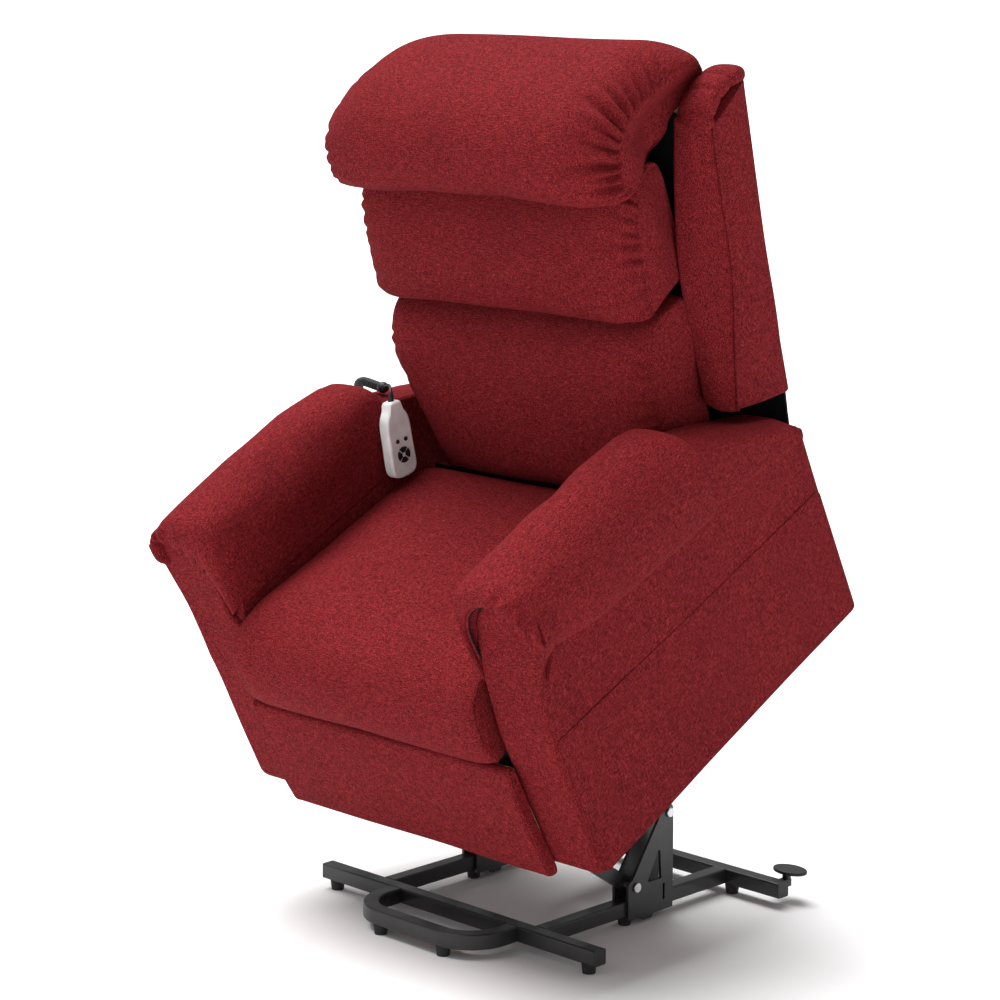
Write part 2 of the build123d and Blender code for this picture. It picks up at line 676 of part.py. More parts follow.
def power_inlet():
    """The socket for the mains lead, on the rear of the control box."""
    body = block((140, 168), (582, 590), (160, 180))
    socket = block((144, 164), (585, 592), (163, 177))
    return [fillet(body.edges().filter_by(Axis.Y), 3) - socket]


def handset_place():
    """Where the handset's own frame lies: its top centre, on its back face."""
    lean = bearing(HANDSET_BOTTOM, HANDSET_TOP) - 90
    return Pos(HANDSET_BACK_X, *HANDSET_TOP) * Rot(lean, 0, 0)


HANDSET_LENGTH = span(HANDSET_BOTTOM, HANDSET_TOP)


def handset_outline():
    """The handset's outline seen from its face: narrow at the top, widest above its round end."""
    half = HANDSET_WIDTH / 2
    length = HANDSET_LENGTH
    return [(-0.32 * half, 0), (0.32 * half, 0), (0.62 * half, -0.06 * length), (half, -0.42 * length),
            (0.96 * half, -0.76 * length), (0.5 * half, -length), (-0.5 * half, -length),
            (-0.96 * half, -0.76 * length), (-half, -0.42 * length), (-0.62 * half, -0.06 * length)]


BUTTON_PLACES = {
    "left_preset_button": (-9, -0.51, 3.6),
    "right_preset_button": (9, -0.51, 3.6),
}
PAD_CENTRE = -0.7
PAD_RADIUS = 13
PAD_DIRECTIONS = {"recline_button": 0, "raise_button": 90, "footrest_button": 180, "lower_button": 270}


def handset_shells():
    """The rear half and the front half of the handset's case, with holes for six buttons."""
    middle = HANDSET_THICK * 0.45
    rear = slab(handset_outline(), (0, middle), 5)
    rear = fillet(rear.edges().group_by(Axis.X)[0], 2.5)
    inside = [(0.84 * y, 0.9 * z - 5) for y, z in handset_outline()]
    rear -= slab(inside, (2.5, middle + 1), 4)
    front = slab(handset_outline(), (middle, HANDSET_THICK), 5)
    front = fillet(front.edges().group_by(Axis.X)[-1], 4)
    front -= slab(inside, (middle - 1, HANDSET_THICK - 3), 4)
    for y, share, radius in BUTTON_PLACES.values():
        front -= rod((y, share * HANDSET_LENGTH), (middle, HANDSET_THICK + 1), radius + 0.3)
    front -= rod((0, PAD_CENTRE * HANDSET_LENGTH), (middle, HANDSET_THICK + 1), PAD_RADIUS + 0.3)
    post = rod((0, PAD_CENTRE * HANDSET_LENGTH), (2.5, HANDSET_THICK - 0.5), 3)
    return handset_place() * (rear + post), handset_place() * front


def handset_buttons():
    """Two round buttons and four segments of a ring, standing a little out of the case."""
    buttons = {}
    top = HANDSET_THICK + 1.3
    bottom = HANDSET_THICK - 5
    for name, (y, share, radius) in BUTTON_PLACES.items():
        cap = rod((y, share * HANDSET_LENGTH), (bottom, top), radius)
        buttons[name] = handset_place() * fillet(cap.edges().group_by(Axis.X)[-1], 0.8)
    centre = (0, PAD_CENTRE * HANDSET_LENGTH)
    ring = rod(centre, (bottom, top), PAD_RADIUS) - rod(centre, (bottom - 1, top + 1), 4)
    for name, angle in PAD_DIRECTIONS.items():
        wedge = [centre, polar(centre, 30, angle - 40), polar(centre, 30, angle + 40)]
        shifted = [polar(point, 0.9, angle) for point in wedge]
        cap = ring & slab(shifted, (bottom - 1, top + 1))
        buttons[name] = handset_place() * cap
    return buttons


def handset_gland():
    """The strain relief where the handset's lead leaves the arm's outer side."""
    foot = fillet(block((-384, -ARM_OUTER), (506, 542), (58, 92)).edges().filter_by(Axis.X), 6)
    neck = block((-404, -384), (514, 534), (64, 98))
    neck = fillet(neck.edges().filter_by(Axis.Z), 8)
    return foot + neck


# ---------------------------------------------------------------- assembly
def base_nodes():
    lift_housing, lift_rod = lift_actuator()
    return {
        "front_cross_tube": front_cross_tube(),
        "front_loop_tube": front_loop_tube(),
        "side_rails": side_rails(),
        "rear_cross_tube": rear_cross_tube(),
        "tube_end_caps": tube_end_caps(),
        "rubber_feet": rubber_feet(),
        "pivot_brackets": pivot_brackets(),
        "base_pivot_pins": base_pivot_pins(),
        "rear_floor_pads": rear_floor_pads(),
        "lift_actuator_clevis": lift_actuator_clevis(),
        "lower_lift_arms": lower_lift_arms(),
        "lower_cross_tube": lower_cross_tube(),
        "upper_lift_arms": upper_lift_arms(),
        "lift_torque_tube": lift_torque_tube(),
        "lift_actuator_housing": [lift_housing],
        "lift_actuator_rod": [lift_rod],
    }


def chair_nodes():
    recline_housing, recline_rod = recline_actuator()
    footrest_housing, footrest_rod = footrest_actuator()
    rear_shell, front_shell = handset_shells()
    nodes = {
        "seat_frame_rails": seat_frame_rails(),
        "mechanism_plates": mechanism_plates(),
        "chair_pivot_plates": chair_pivot_plates(),
        "chair_pivot_pins": chair_pivot_pins(),
        "seat_springs": seat_springs(),
        "seat_cushion": seat_cushion(),
        "arm_wood_frames": arm_wood_frames(),
        "back_frame": back_frame(),
        "back_drive_tube": back_drive_tube(),
        "back_outer_panel": back_outer_panel(),
        "lower_back_pillow": lower_back_pillow(),
        "middle_back_pillow": middle_back_pillow(),
        "head_back_pillow": head_back_pillow(),
        "footrest_drive_shaft": footrest_drive_shaft(),
        "footrest_rear_links": footrest_rear_links(),
        "footrest_front_links": footrest_front_links(),
        "footrest_link_pins": footrest_link_pins(),
        "footrest_board": footrest_board(),
        "footrest_pad": footrest_pad(),
        "recline_actuator_housing": [recline_housing],
        "recline_actuator_rod": [recline_rod],
        "footrest_actuator_housing": [footrest_housing],
        "footrest_actuator_rod": [footrest_rod],
        "control_box": control_box(),
        "power_inlet": power_inlet(),
        "handset_rear_shell": [rear_shell],
        "handset_front_shell": [front_shell],
        "handset_cord_gland": [handset_gland()],
        "handset_cord_curly": [route_tube(CURLY_ROUTE, CURLY_DIAMETER)],
        "handset_cord_tail": [route_tube(TAIL_ROUTE, CORD_DIAMETER)],
    }
    for side, word in ((1, "right"), (-1, "left")):
        nodes[word + "_arm_shell"] = [arm_shell(side)]
        nodes[word + "_arm_front_panel"] = [arm_front_panel(side)]
        nodes[word + "_arm_pad"] = [arm_pad(side)]
        nodes[word + "_wing"] = [wing(side)]
    for name, cap in handset_buttons().items():
        nodes[name] = [cap]
    return nodes


CORD_NODES = ("handset_cord_gland", "handset_cord_curly", "handset_cord_tail")


def build():
    """Every node in the floor frame with the lift raised, then moved over the origin."""
    place = Pos(0, *RAISED_ORIGIN) * Rot(RAISED_TILT, 0, 0)
    nodes = dict(base_nodes())
    for name, solids in chair_nodes().items():
        nodes[name] = [place * solid for solid in solids]
    boxes = []
    for name, solids in nodes.items():
        if name not in CORD_NODES:
            boxes += [solid.bounding_box() for solid in solids]
    shift = -(min(box.min.Y for box in boxes) + max(box.max.Y for box in boxes)) / 2
    moved = {name: [Pos(0, shift, 0) * solid for solid in solids] for name, solids in nodes.items()}
    return moved, shift


os.makedirs("parts", exist_ok=True)
NODES, SHIFT_Y = build()
print("shift along y", round(SHIFT_Y, 3), "nodes", len(NODES))
for node_name, node_solids in NODES.items():
    pieces = [piece for solid in node_solids for piece in solid.solids()]
    shape = pieces[0] if len(pieces) == 1 else Compound(children=pieces)
    export_step(shape, os.path.join("parts", node_name + ".step"))
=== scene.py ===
"""A lift recliner chair in burgundy chenille, dressed over its CAD frame and lit as in a studio.

The upholstery is laid out in the seat's own frame: millimetres, x across the chair, y to
its rear, z up from the bottom front edge of the arm boxes. `raised` brings such points to
the raised seat, in metres. A padded piece is a grid of points, whose rows are closed loops
round it; its first and last rows close to a point.
"""
import math

import bpy
import numpy as np
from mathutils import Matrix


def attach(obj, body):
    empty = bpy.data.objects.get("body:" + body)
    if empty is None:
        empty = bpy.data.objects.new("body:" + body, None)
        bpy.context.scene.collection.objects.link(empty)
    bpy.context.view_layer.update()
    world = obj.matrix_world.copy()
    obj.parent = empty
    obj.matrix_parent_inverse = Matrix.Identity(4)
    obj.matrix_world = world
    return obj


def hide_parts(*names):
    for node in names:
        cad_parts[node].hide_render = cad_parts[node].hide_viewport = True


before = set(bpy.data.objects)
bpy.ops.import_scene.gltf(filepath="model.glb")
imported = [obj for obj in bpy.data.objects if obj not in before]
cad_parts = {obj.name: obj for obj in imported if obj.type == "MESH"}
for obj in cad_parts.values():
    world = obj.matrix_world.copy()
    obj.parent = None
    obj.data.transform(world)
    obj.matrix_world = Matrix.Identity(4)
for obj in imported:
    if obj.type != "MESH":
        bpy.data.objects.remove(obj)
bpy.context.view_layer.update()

# The seat's own frame in the row frame
SEAT_TILT = math.radians(28.25)
SEAT_Y = -0.188319
SEAT_Z = 0.188

# Sizes shared by several pieces
ARM_INNER = 268
ARM_OUTER = 378
PAD_INNER = 262
PAD_OUTER = 412
WING_INNER = 272
WING_OUTER = 330

# Cloth simulation: gauge pressure, frames, and the most that a point may move, in metres
PRESSURE = 4
LAST_FRAME = 20
SWELL_CAP = 0.026

# The handset's lead, in metres, and the two stretches of its route in the seat's frame
CORD_DIAMETER = 0.0045
COIL_DIAMETER = 0.016
COIL_PITCH = 0.0058
COIL_STEPS = 14
CURLY_ROUTE = [
    (-394, 524, 98), (-396, 519, 150), (-400, 514, 215), (-402, 507, 300), (-402, 501, 360),
    (-401, 496, 405), (-395, 492, 436), (-372, 488, 450.5), (-340, 482, 451.5), (-305, 474, 453),
]
TAIL_ROUTE = [
    (-290, 470, 462), (-272, 462, 473), (-256, 452, 477), (-246, 441.5, 473), (-245, 434.3, 463.8),
]


# ---------------------------------------------------------------- frames and grids
def add_object(name, data):
    """A new object in the scene."""
    made = bpy.data.objects.new(name, data)
    bpy.context.collection.objects.link(made)
    return made


def raised(points):
    """Points of the seat's frame, in millimetres, at the raised seat, in metres."""
    p = np.asarray(points, float) / 1000
    out = np.empty_like(p)
    out[..., 0] = p[..., 0]
    out[..., 1] = SEAT_Y + p[..., 1] * math.cos(SEAT_TILT) - p[..., 2] * math.sin(SEAT_TILT)
    out[..., 2] = SEAT_Z + p[..., 1] * math.sin(SEAT_TILT) + p[..., 2] * math.cos(SEAT_TILT)
    return out


def lowered(points):
    """The inverse of raised."""
    p = np.asarray(points, float)
    y = p[..., 1] - SEAT_Y
    z = p[..., 2] - SEAT_Z
    out = np.empty_like(p)
    out[..., 0] = p[..., 0]
    out[..., 1] = y * math.cos(SEAT_TILT) + z * math.sin(SEAT_TILT)
    out[..., 2] = z * math.cos(SEAT_TILT) - y * math.sin(SEAT_TILT)
    return out * 1000


def distances(points):
    """How far along a line each of its points lies."""
    return np.r_[0, np.cumsum(np.linalg.norm(np.diff(points, axis=0), axis=1))]


def places(points, along, at):
    """The points that lie at these distances, on a line whose own points lie at `along`."""
    return np.column_stack([np.interp(at, along, values) for values in points.T])


def rounded(outline, reach, spacing=None, count=None):
    """A closed outline with its corners rounded, as evenly spaced points."""
    corners = np.array(outline, float)
    bends = []
    for before, here, after in zip(np.roll(corners, 1, 0), corners, np.roll(corners, -1, 0)):
        a = here + (before - here) * min(0.5, reach / np.linalg.norm(before - here))
        b = here + (after - here) * min(0.5, reach / np.linalg.norm(after - here))
        for t in np.linspace(0, 1, 14):
            bends.append((1 - t) ** 2 * a + 2 * t * (1 - t) * here + t * t * b)
    closed = np.array(bends + bends[:1])
    lengths = distances(closed)
    count = count or int(round(lengths[-1] / spacing))
    return places(closed, lengths, np.linspace(0, lengths[-1], count, endpoint=False))


def line_through(points, count):
    """A smooth open line from the first point to the last, as evenly spaced points."""
    points = np.array(points, float)
    padded = np.vstack([2 * points[0] - points[1], points, 2 * points[-1] - points[-2]])
    dense = []
    for p0, p1, p2, p3 in zip(padded, padded[1:], padded[2:], padded[3:]):
        for t in np.linspace(0, 1, 12, endpoint=False):
            dense.append(0.5 * (2 * p1 + (p2 - p0) * t + (2 * p0 - 5 * p1 + 4 * p2 - p3) * t * t
                                + (3 * p1 - p0 - 3 * p2 + p3) * t ** 3))
    dense = np.array(dense + [points[-1]])
    lengths = distances(dense)
    return places(dense, lengths, np.linspace(0, lengths[-1], count))


def at_y(ring, y):
    """An (x, z) outline placed at y, which is one number or one for each point."""
    return np.column_stack([ring[:, 0], np.broadcast_to(y, len(ring)), ring[:, 1]])


def at_x(ring, x):
    """A (y, z) outline placed at x."""
    return np.column_stack([np.full(len(ring), x), ring])


def doubled(values, around):
    """A grid with a new row or column between each two, on a smooth curve through them."""
    p = np.moveaxis(values, 1, 0) if around else values
    if around:
        before, after, last = np.roll(p, 1, 0), np.roll(p, -1, 0), np.roll(p, -2, 0)
    else:
        before = np.concatenate([p[:1], p[:-1]])
        after = np.concatenate([p[1:], p[-1:]])
        last = np.concatenate([p[2:], p[-1:], p[-1:]])
    middle = (9 * (p + after) - before - last) / 16
    out = np.empty((2 * len(p),) + p.shape[1:])
    out[0::2] = p
    out[1::2] = middle
    if not around:
        out = out[:-1]
    return np.moveaxis(out, 0, 1) if around else out


def outward(grid):
    """The unit normal at each point of a grid, pointing out of the piece."""
    along = np.gradient(grid, axis=0)
    around = np.roll(grid, -1, 1) - np.roll(grid, 1, 1)
    normal = np.cross(along, around)
    normal /= np.maximum(np.linalg.norm(normal, axis=2, keepdims=True), 1e-9)
    middle = grid.reshape(-1, 3).mean(axis=0)
    return normal if ((grid - middle) * normal).sum() > 0 else -normal


def waves(points, size, seed):
    """A smooth random field between about -1 and 1, whose bumps are about this size in mm."""
    random = np.random.default_rng(seed)
    total = np.zeros(points.shape[:-1])
    for _ in range(9):
        direction = random.normal(size=3)
        direction /= np.linalg.norm(direction)
        turn = random.uniform(1.4, 3.4) / size
        total += np.sin(points @ direction * turn + random.uniform(0, 6.3))
    return total / 4


def build_mesh(name, grid):
    """The mesh of a closed grid: quads between its rows, and fans at its two ends."""
    rows, columns = grid.shape[:2]
    inner = raised(grid[1:-1]).reshape(-1, 3)
    ends = raised(np.array([grid[0].mean(axis=0), grid[-1].mean(axis=0)]))
    index = np.arange(len(inner)).reshape(rows - 2, columns)
    after = np.roll(index, -1, 1)
    faces = np.stack([index[:-1], after[:-1], after[1:], index[1:]], -1).reshape(-1, 4).tolist()
    first, last = len(inner), len(inner) + 1
    faces += [(first, int(b), int(a)) for a, b in zip(index[0], after[0])]
    faces += [(last, int(a), int(b)) for a, b in zip(index[-1], after[-1])]
    mesh = bpy.data.meshes.new(name)
    mesh.from_pydata(np.vstack([inner, ends]).tolist(), [], faces)
    mesh.update()
    return add_object(name, mesh)


def finish_normals(piece):
    """Smooth shading, with the faces turned outwards."""
    mesh = piece.data
    points = np.empty(len(mesh.vertices) * 3)
    mesh.vertices.foreach_get("co", points)
    middle = points.reshape(-1, 3).mean(axis=0)
    facing = sum((np.array(p.center) - middle) @ np.array(p.normal) * p.area for p in mesh.polygons)
    if facing < 0:
        mesh.flip_normals()
    mesh.polygons.foreach_set("use_smooth", [True] * len(mesh.polygons))
    mesh.update()


def wear(piece, material, body):
    """A piece's material, and the body that it rides on."""
    piece.data.materials.append(material)
    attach(piece, body)


# ---------------------------------------------------------------- materials
def shader(name, base, roughness, **sockets):
    """A material with a Principled shader, and its node tree and the shader's node."""
    material = bpy.data.materials.new(name)
    material.use_nodes = True
    tree = material.node_tree
    surface = tree.nodes["Principled BSDF"]
    surface.inputs["Base Color"].default_value = (*base, 1)
    surface.inputs["Roughness"].default_value = roughness
    for socket, value in sockets.items():
        surface.inputs[socket.replace("_", " ")].default_value = value
    return material, tree, surface


def node(tree, kind, inputs=None, **settings):
    """A new node with its settings and its inputs, each a value or another node's output."""
    made = tree.nodes.new("ShaderNode" + kind)
    for key, value in settings.items():
        setattr(made, key, value)
    for key, value in (inputs or {}).items():
        if isinstance(value, bpy.types.NodeSocket):
            tree.links.new(value, made.inputs[key])
        else:
            made.inputs[key].default_value = value
    return made


def seat_coordinates(tree, stretch=(1, 1, 1)):
    """Object coordinates turned with the seat and stretched along its axes."""
    place = node(tree, "TexCoord").outputs["Object"]
    turned = node(tree, "Mapping", {"Vector": place, "Rotation": (-SEAT_TILT, 0, 0)})
    return node(tree, "Mapping", {"Vector": turned.outputs[0], "Scale": stretch}).outputs[0]


def noise(tree, scale, stretch=(1, 1, 1), detail=2.0, rough=0.5):
    """A noise texture fixed to the seat, as a grey value."""
    inputs = {"Vector": seat_coordinates(tree, stretch), "Scale": scale, "Detail": detail,
              "Roughness": rough}
    return node(tree, "TexNoise", inputs).outputs["Fac"]


def combine(tree, operation, a, b):
    """A sum or product of two values."""
    return node(tree, "Math", {0: a, 1: b}, operation=operation).outputs[0]


def ramp(tree, factor, stops):
    """A colour ramp over (place, colour) stops."""
    made = node(tree, "ValToRGB", {"Fac": factor})
    elements = made.color_ramp.elements
    while len(elements) < len(stops):
        elements.new(0.5)
    for element, (place, colour) in zip(elements, stops):
        element.position = place
        element.color = (*colour, 1)
    return made.outputs["Color"]


def bumped(tree, surface, height, strength, distance):
    """Fine relief on a shader, this deep in metres."""
    made = node(tree, "Bump", {"Height": height, "Strength": strength, "Distance": distance})
    tree.links.new(made.outputs["Normal"], surface.inputs["Normal"])


def rough_by(tree, surface, value, low, high):
    """A shader's roughness that follows a noise value, from low to high."""
    made = node(tree, "MapRange", {"Value": value, "From Min": 0.3, "From Max": 0.7,
                                   "To Min": low, "To Max": high})
    tree.links.new(made.outputs[0], surface.inputs["Roughness"])


def chenille():
    """Burgundy chenille: a short mottled pile over a plain weave with slubs along every thread."""
    material, tree, surface = shader(
        "burgundy_chenille", (0.16, 0.0105, 0.0135), 0.92, Specular_IOR_Level=0.06)
    pile = noise(tree, 800, detail=3, rough=0.75)
    across = noise(tree, 1, (110, 950, 950), detail=2, rough=0.6)
    along = noise(tree, 1, (950, 110, 950), detail=2, rough=0.6)
    upward = noise(tree, 1, (950, 950, 110), detail=2, rough=0.6)
    shade = noise(tree, 6, detail=3)
    threads = combine(tree, "ADD", combine(tree, "ADD", across, along), upward)
    pile_share = combine(tree, "MULTIPLY", pile, 0.37)
    thread_share = combine(tree, "MULTIPLY", threads, 0.21)
    mix = combine(tree, "ADD", pile_share, thread_share)
    yarn = ramp(tree, mix, [(0.42, (0.042, 0.0034, 0.0046)), (0.5, (0.155, 0.0108, 0.0138)),
                            (0.58, (0.38, 0.036, 0.040))])
    worn = ramp(tree, shade, [(0.3, (0.9, 0.9, 0.92)), (0.7, (1.0, 1.0, 1.0))])
    inputs = {"Fac": 1.0, "Color1": yarn, "Color2": worn}
    colour = node(tree, "MixRGB", inputs, blend_type="MULTIPLY")
    tree.links.new(colour.outputs[0], surface.inputs["Base Color"])
    bumped(tree, surface, mix, 0.9, 0.0016)
    return material


def lining():
    """Black non-woven lining cloth, also used for the thin strips that paint the shade of creases."""
    material, tree, surface = shader(
        "black_lining_and_painted_shade", (0.006, 0.006, 0.007), 0.95, Specular_IOR_Level=0.1)
    spots = noise(tree, 900, detail=2)
    colour = ramp(tree, spots, [(0.35, (0.003, 0.003, 0.004)), (0.7, (0.011, 0.011, 0.012))])
    tree.links.new(colour, surface.inputs["Base Color"])
    bumped(tree, surface, spots, 0.4, 0.0005)
    return material


def powder_coat():
    """Satin black powder coat: a fine orange peel, with patches of dust that dull it."""
    material, tree, surface = shader(
        "powder_coat_black", (0.012, 0.012, 0.013), 0.42, Coat_Weight=0.15)
    peel = noise(tree, 1400, detail=1)
    film = noise(tree, 22, detail=4)
    rough_by(tree, surface, film, 0.34, 0.52)
    colour = ramp(tree, film, [(0.3, (0.010, 0.010, 0.011)), (0.75, (0.022, 0.022, 0.023))])
    tree.links.new(colour, surface.inputs["Base Color"])
    bumped(tree, surface, peel, 0.25, 0.0003)
    return material


def metal(name, base, roughness, stretch):
    """Bright metal with fine drawn lines and small stains."""
    material, tree, surface = shader(name, base, roughness, Metallic=1.0)
    lines = noise(tree, 1, stretch, detail=2)
    stain = noise(tree, 60, detail=4)
    rough_by(tree, surface, stain, roughness - 0.08, roughness + 0.12)
    low = tuple(0.72 * c for c in base)
    tree.links.new(ramp(tree, stain, [(0.25, low), (0.6, base)]), surface.inputs["Base Color"])
    bumped(tree, surface, lines, 0.2, 0.0002)
    return material


def plastic(name, base, roughness, grain, depth):
    """Moulded plastic or rubber with a fine even grain and slightly uneven gloss."""
    material, tree, surface = shader(name, base, roughness)
    skin = noise(tree, grain, detail=2)
    gloss = noise(tree, 35, detail=4)
    rough_by(tree, surface, gloss, roughness - 0.06, roughness + 0.1)
    low = tuple(0.8 * c for c in base)
    tree.links.new(ramp(tree, gloss, [(0.25, low), (0.6, base)]), surface.inputs["Base Color"])
    bumped(tree, surface, skin, 0.3, depth)
    return material


def timber():
    """Sawn pine: long grain with darker bands."""
    material, tree, surface = shader("sawn_pine", (0.55, 0.36, 0.19), 0.7)
    grain = noise(tree, 1, (120, 14, 160), detail=5, rough=0.6)
    colour = ramp(tree, grain, [(0.3, (0.36, 0.20, 0.09)), (0.5, (0.58, 0.38, 0.20)),
                                (0.7, (0.70, 0.50, 0.30))])
    tree.links.new(colour, surface.inputs["Base Color"])
    bumped(tree, surface, grain, 0.5, 0.0006)
    return material


CHENILLE = chenille()
LINING_AND_SHADE = lining()
SLOT_MATERIALS = {
    "upholstery": CHENILLE,
    "upholstery_frame": timber(),
    "powder_coat": powder_coat(),
    "plated_steel": metal("zinc_plated_steel", (0.62, 0.63, 0.65), 0.32, (300, 300, 300)),
    "spring_wire": metal("spring_wire", (0.30, 0.30, 0.31), 0.38, (200, 900, 900)),
    "foot_rubber": plastic("black_rubber", (0.018, 0.018, 0.019), 0.72, 1500, 0.0005),
    "black_plastic": plastic("black_plastic", (0.012, 0.012, 0.013), 0.48, 2200, 0.0003),
    "actuator_plastic": plastic("actuator_plastic", (0.035, 0.036, 0.038), 0.5, 1800, 0.0004),
    "handset_case": plastic("handset_white", (0.92, 0.93, 0.92), 0.34, 2500, 0.0001),
    "button_rubber": plastic("button_rubber", (0.010, 0.010, 0.011), 0.5, 2400, 0.0002),
    "cord_jacket": plastic("cord_jacket", (0.010, 0.010, 0.011), 0.45, 2400, 0.0002),
}


def paint_cad():
    """The CAD nodes' own slots get the detailed materials."""
    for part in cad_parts.values():
        for slot in part.material_slots:
            name = slot.material.name.split(".")[0]
            if name in SLOT_MATERIALS:
                slot.material = SLOT_MATERIALS[name]


# ---------------------------------------------------------------- camera and cord
def add_camera():
    """A long lens in front of the chair's right side, a little above its arms."""
    camera = add_object("camera", bpy.data.cameras.new("camera"))
    place = np.array([3.1321, -3.1609, 1.5079])
    target = np.array([-0.0939, 0.0706, 0.6475])
    back = place - target
    camera.location = place
    pitch = math.atan2(math.hypot(back[0], back[1]), back[2])
    camera.rotation_euler = (pitch, 0, math.atan2(back[0], -back[1]))
    camera.data.lens = 104.79
    camera.data.sensor_width = 36
    camera.data.clip_end = 400
    bpy.context.scene.camera = camera


def nurbs(name, points):
    """A curve of one open smooth spline, with these control points in the row frame."""
    curve = bpy.data.curves.new(name, "CURVE")
    curve.dimensions = "3D"
    spline = curve.splines.new("NURBS")
    spline.points.add(len(points) - 1)
    for control, point in zip(spline.points, points):
        control.co = (*point, 1)
    spline.order_u = 3
    spline.use_endpoint_u = True
    spline.resolution_u = 8
    return add_object(name, curve)


def along_spline(piece):
    """The points that a curve without a bevel follows."""
    mesh = bpy.data.meshes.new_from_object(piece)
    points = np.array([vertex.co for vertex in mesh.vertices])
    bpy.data.meshes.remove(mesh)
    return points


def sweep_frames(points):
    """Two unit vectors across a line at each of its points, that don't twist along it."""
    tangents = np.gradient(points, axis=0)
    tangents /= np.linalg.norm(tangents, axis=1, keepdims=True)
    first = np.cross(tangents[0], (0, 0, 1) if abs(tangents[0][2]) < 0.9 else (1, 0, 0))
    sides = [first / np.linalg.norm(first)]
    for tangent in tangents[1:]:
        side = sides[-1] - tangent * (sides[-1] @ tangent)
        sides.append(side / np.linalg.norm(side))
    sides = np.array(sides)
    return sides, np.cross(tangents, sides)


def add_cord():
    """The handset's curly cord over the arm, then its straight tail into the handset."""
    guide = nurbs("cord_guide", raised(CURLY_ROUTE))
    line = along_spline(guide)
    bpy.data.objects.remove(guide)
    along = distances(line)
    steps = int(along[-1] / COIL_PITCH * COIL_STEPS)
    at = along[-1] * np.arange(steps + 1) / steps
    line, sides, ups = (places(points, along, at) for points in (line, *sweep_frames(line)))
    coil = []
    for step, (centre, side, up) in enumerate(zip(line, sides, ups)):
        lead = min(1, step / COIL_STEPS, (steps - step) / COIL_STEPS)
        radius = lead * (COIL_DIAMETER - CORD_DIAMETER) / 2
        turn = 2 * math.pi * step / COIL_STEPS
        coil.append(centre + radius * (math.cos(turn) * side + math.sin(turn) * up))
    cord = nurbs("handset_cord", coil + list(raised(TAIL_ROUTE)))
    cord.data.splines[0].resolution_u = 2
    cord.data.bevel_depth = CORD_DIAMETER / 2
    cord.data.bevel_resolution = 3
    cord.data.use_fill_caps = True
    boot = add_boot()
    wear(cord, SLOT_MATERIALS["cord_jacket"], "seat")
    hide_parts("handset_cord_curly", "handset_cord_tail")
    start = raised(CURLY_ROUTE[0])


def lathe(name, profile, start, end, sides=48):
    """A turned piece between two points of the seat's frame: (share of the length, radius)."""
    start, end = np.array(start, float), np.array(end, float)
    axis = end - start
    across = np.cross(axis, (0, 0.3, 1))
    across /= np.linalg.norm(across)
    up = np.cross(axis, across)
    up /= np.linalg.norm(up)
    rows = []
    for share, radius in profile:
        turn = np.linspace(0, 2 * math.pi, sides, endpoint=False)[:, None]
        rows.append(start + axis * share + radius * (np.cos(turn) * across + np.sin(turn) * up))
    piece = build_mesh(name, np.array(rows))
    finish_normals(piece)
    return piece


def add_boot():
    """The round moulded end of the curly part, where the straight tail comes out."""
    ball = [(0.5 - 0.5 * math.cos(a), 9.5 * math.sin(a)) for a in np.linspace(0, math.pi, 25)]
    profile = [(s, r if s < 0.75 else max(r, 3.4 - 2 * (s - 0.75))) for s, r in ball[:-1]]
    profile += [(1.25, 2.9), (1.25, 0)]
    boot = lathe("handset_cord_boot", profile, (-315, 476, 451), (-296, 472, 458))
    wear(boot, SLOT_MATERIALS["black_plastic"], "seat")
    return boot


# ---------------------------------------------------------------- padded pieces
SOFT = []


def soften(name, body, nodes, grid, pinned=None, folds=(), lumps=(1.2, 90), fill=0.7, seams=()):
    """Remembers a padded piece: its body, the nodes that it replaces, and its grid.

    pinned(grid) gives each point's hold in the cloth simulation, from 0 to 1; without it the
    piece isn't simulated. Folds are (row, direction, list of folds), lumps are (height, reach)
    and seams are (row, depth), in mm."""
    SOFT.append(dict(name=name, body=body, nodes=nodes, grid=np.array(grid, float), pinned=pinned,
                     folds=folds, lumps=lumps, fill=fill, seams=seams))


def evened(move, passes):
    """A grid of displacements with its small ripples smoothed away."""
    for _ in range(passes):
        above = np.concatenate([move[:1], move[:-1]])
        below = np.concatenate([move[1:], move[-1:]])
        move = (move * 2 + above + below + np.roll(move, 1, 1) + np.roll(move, -1, 1)) / 6
    return move


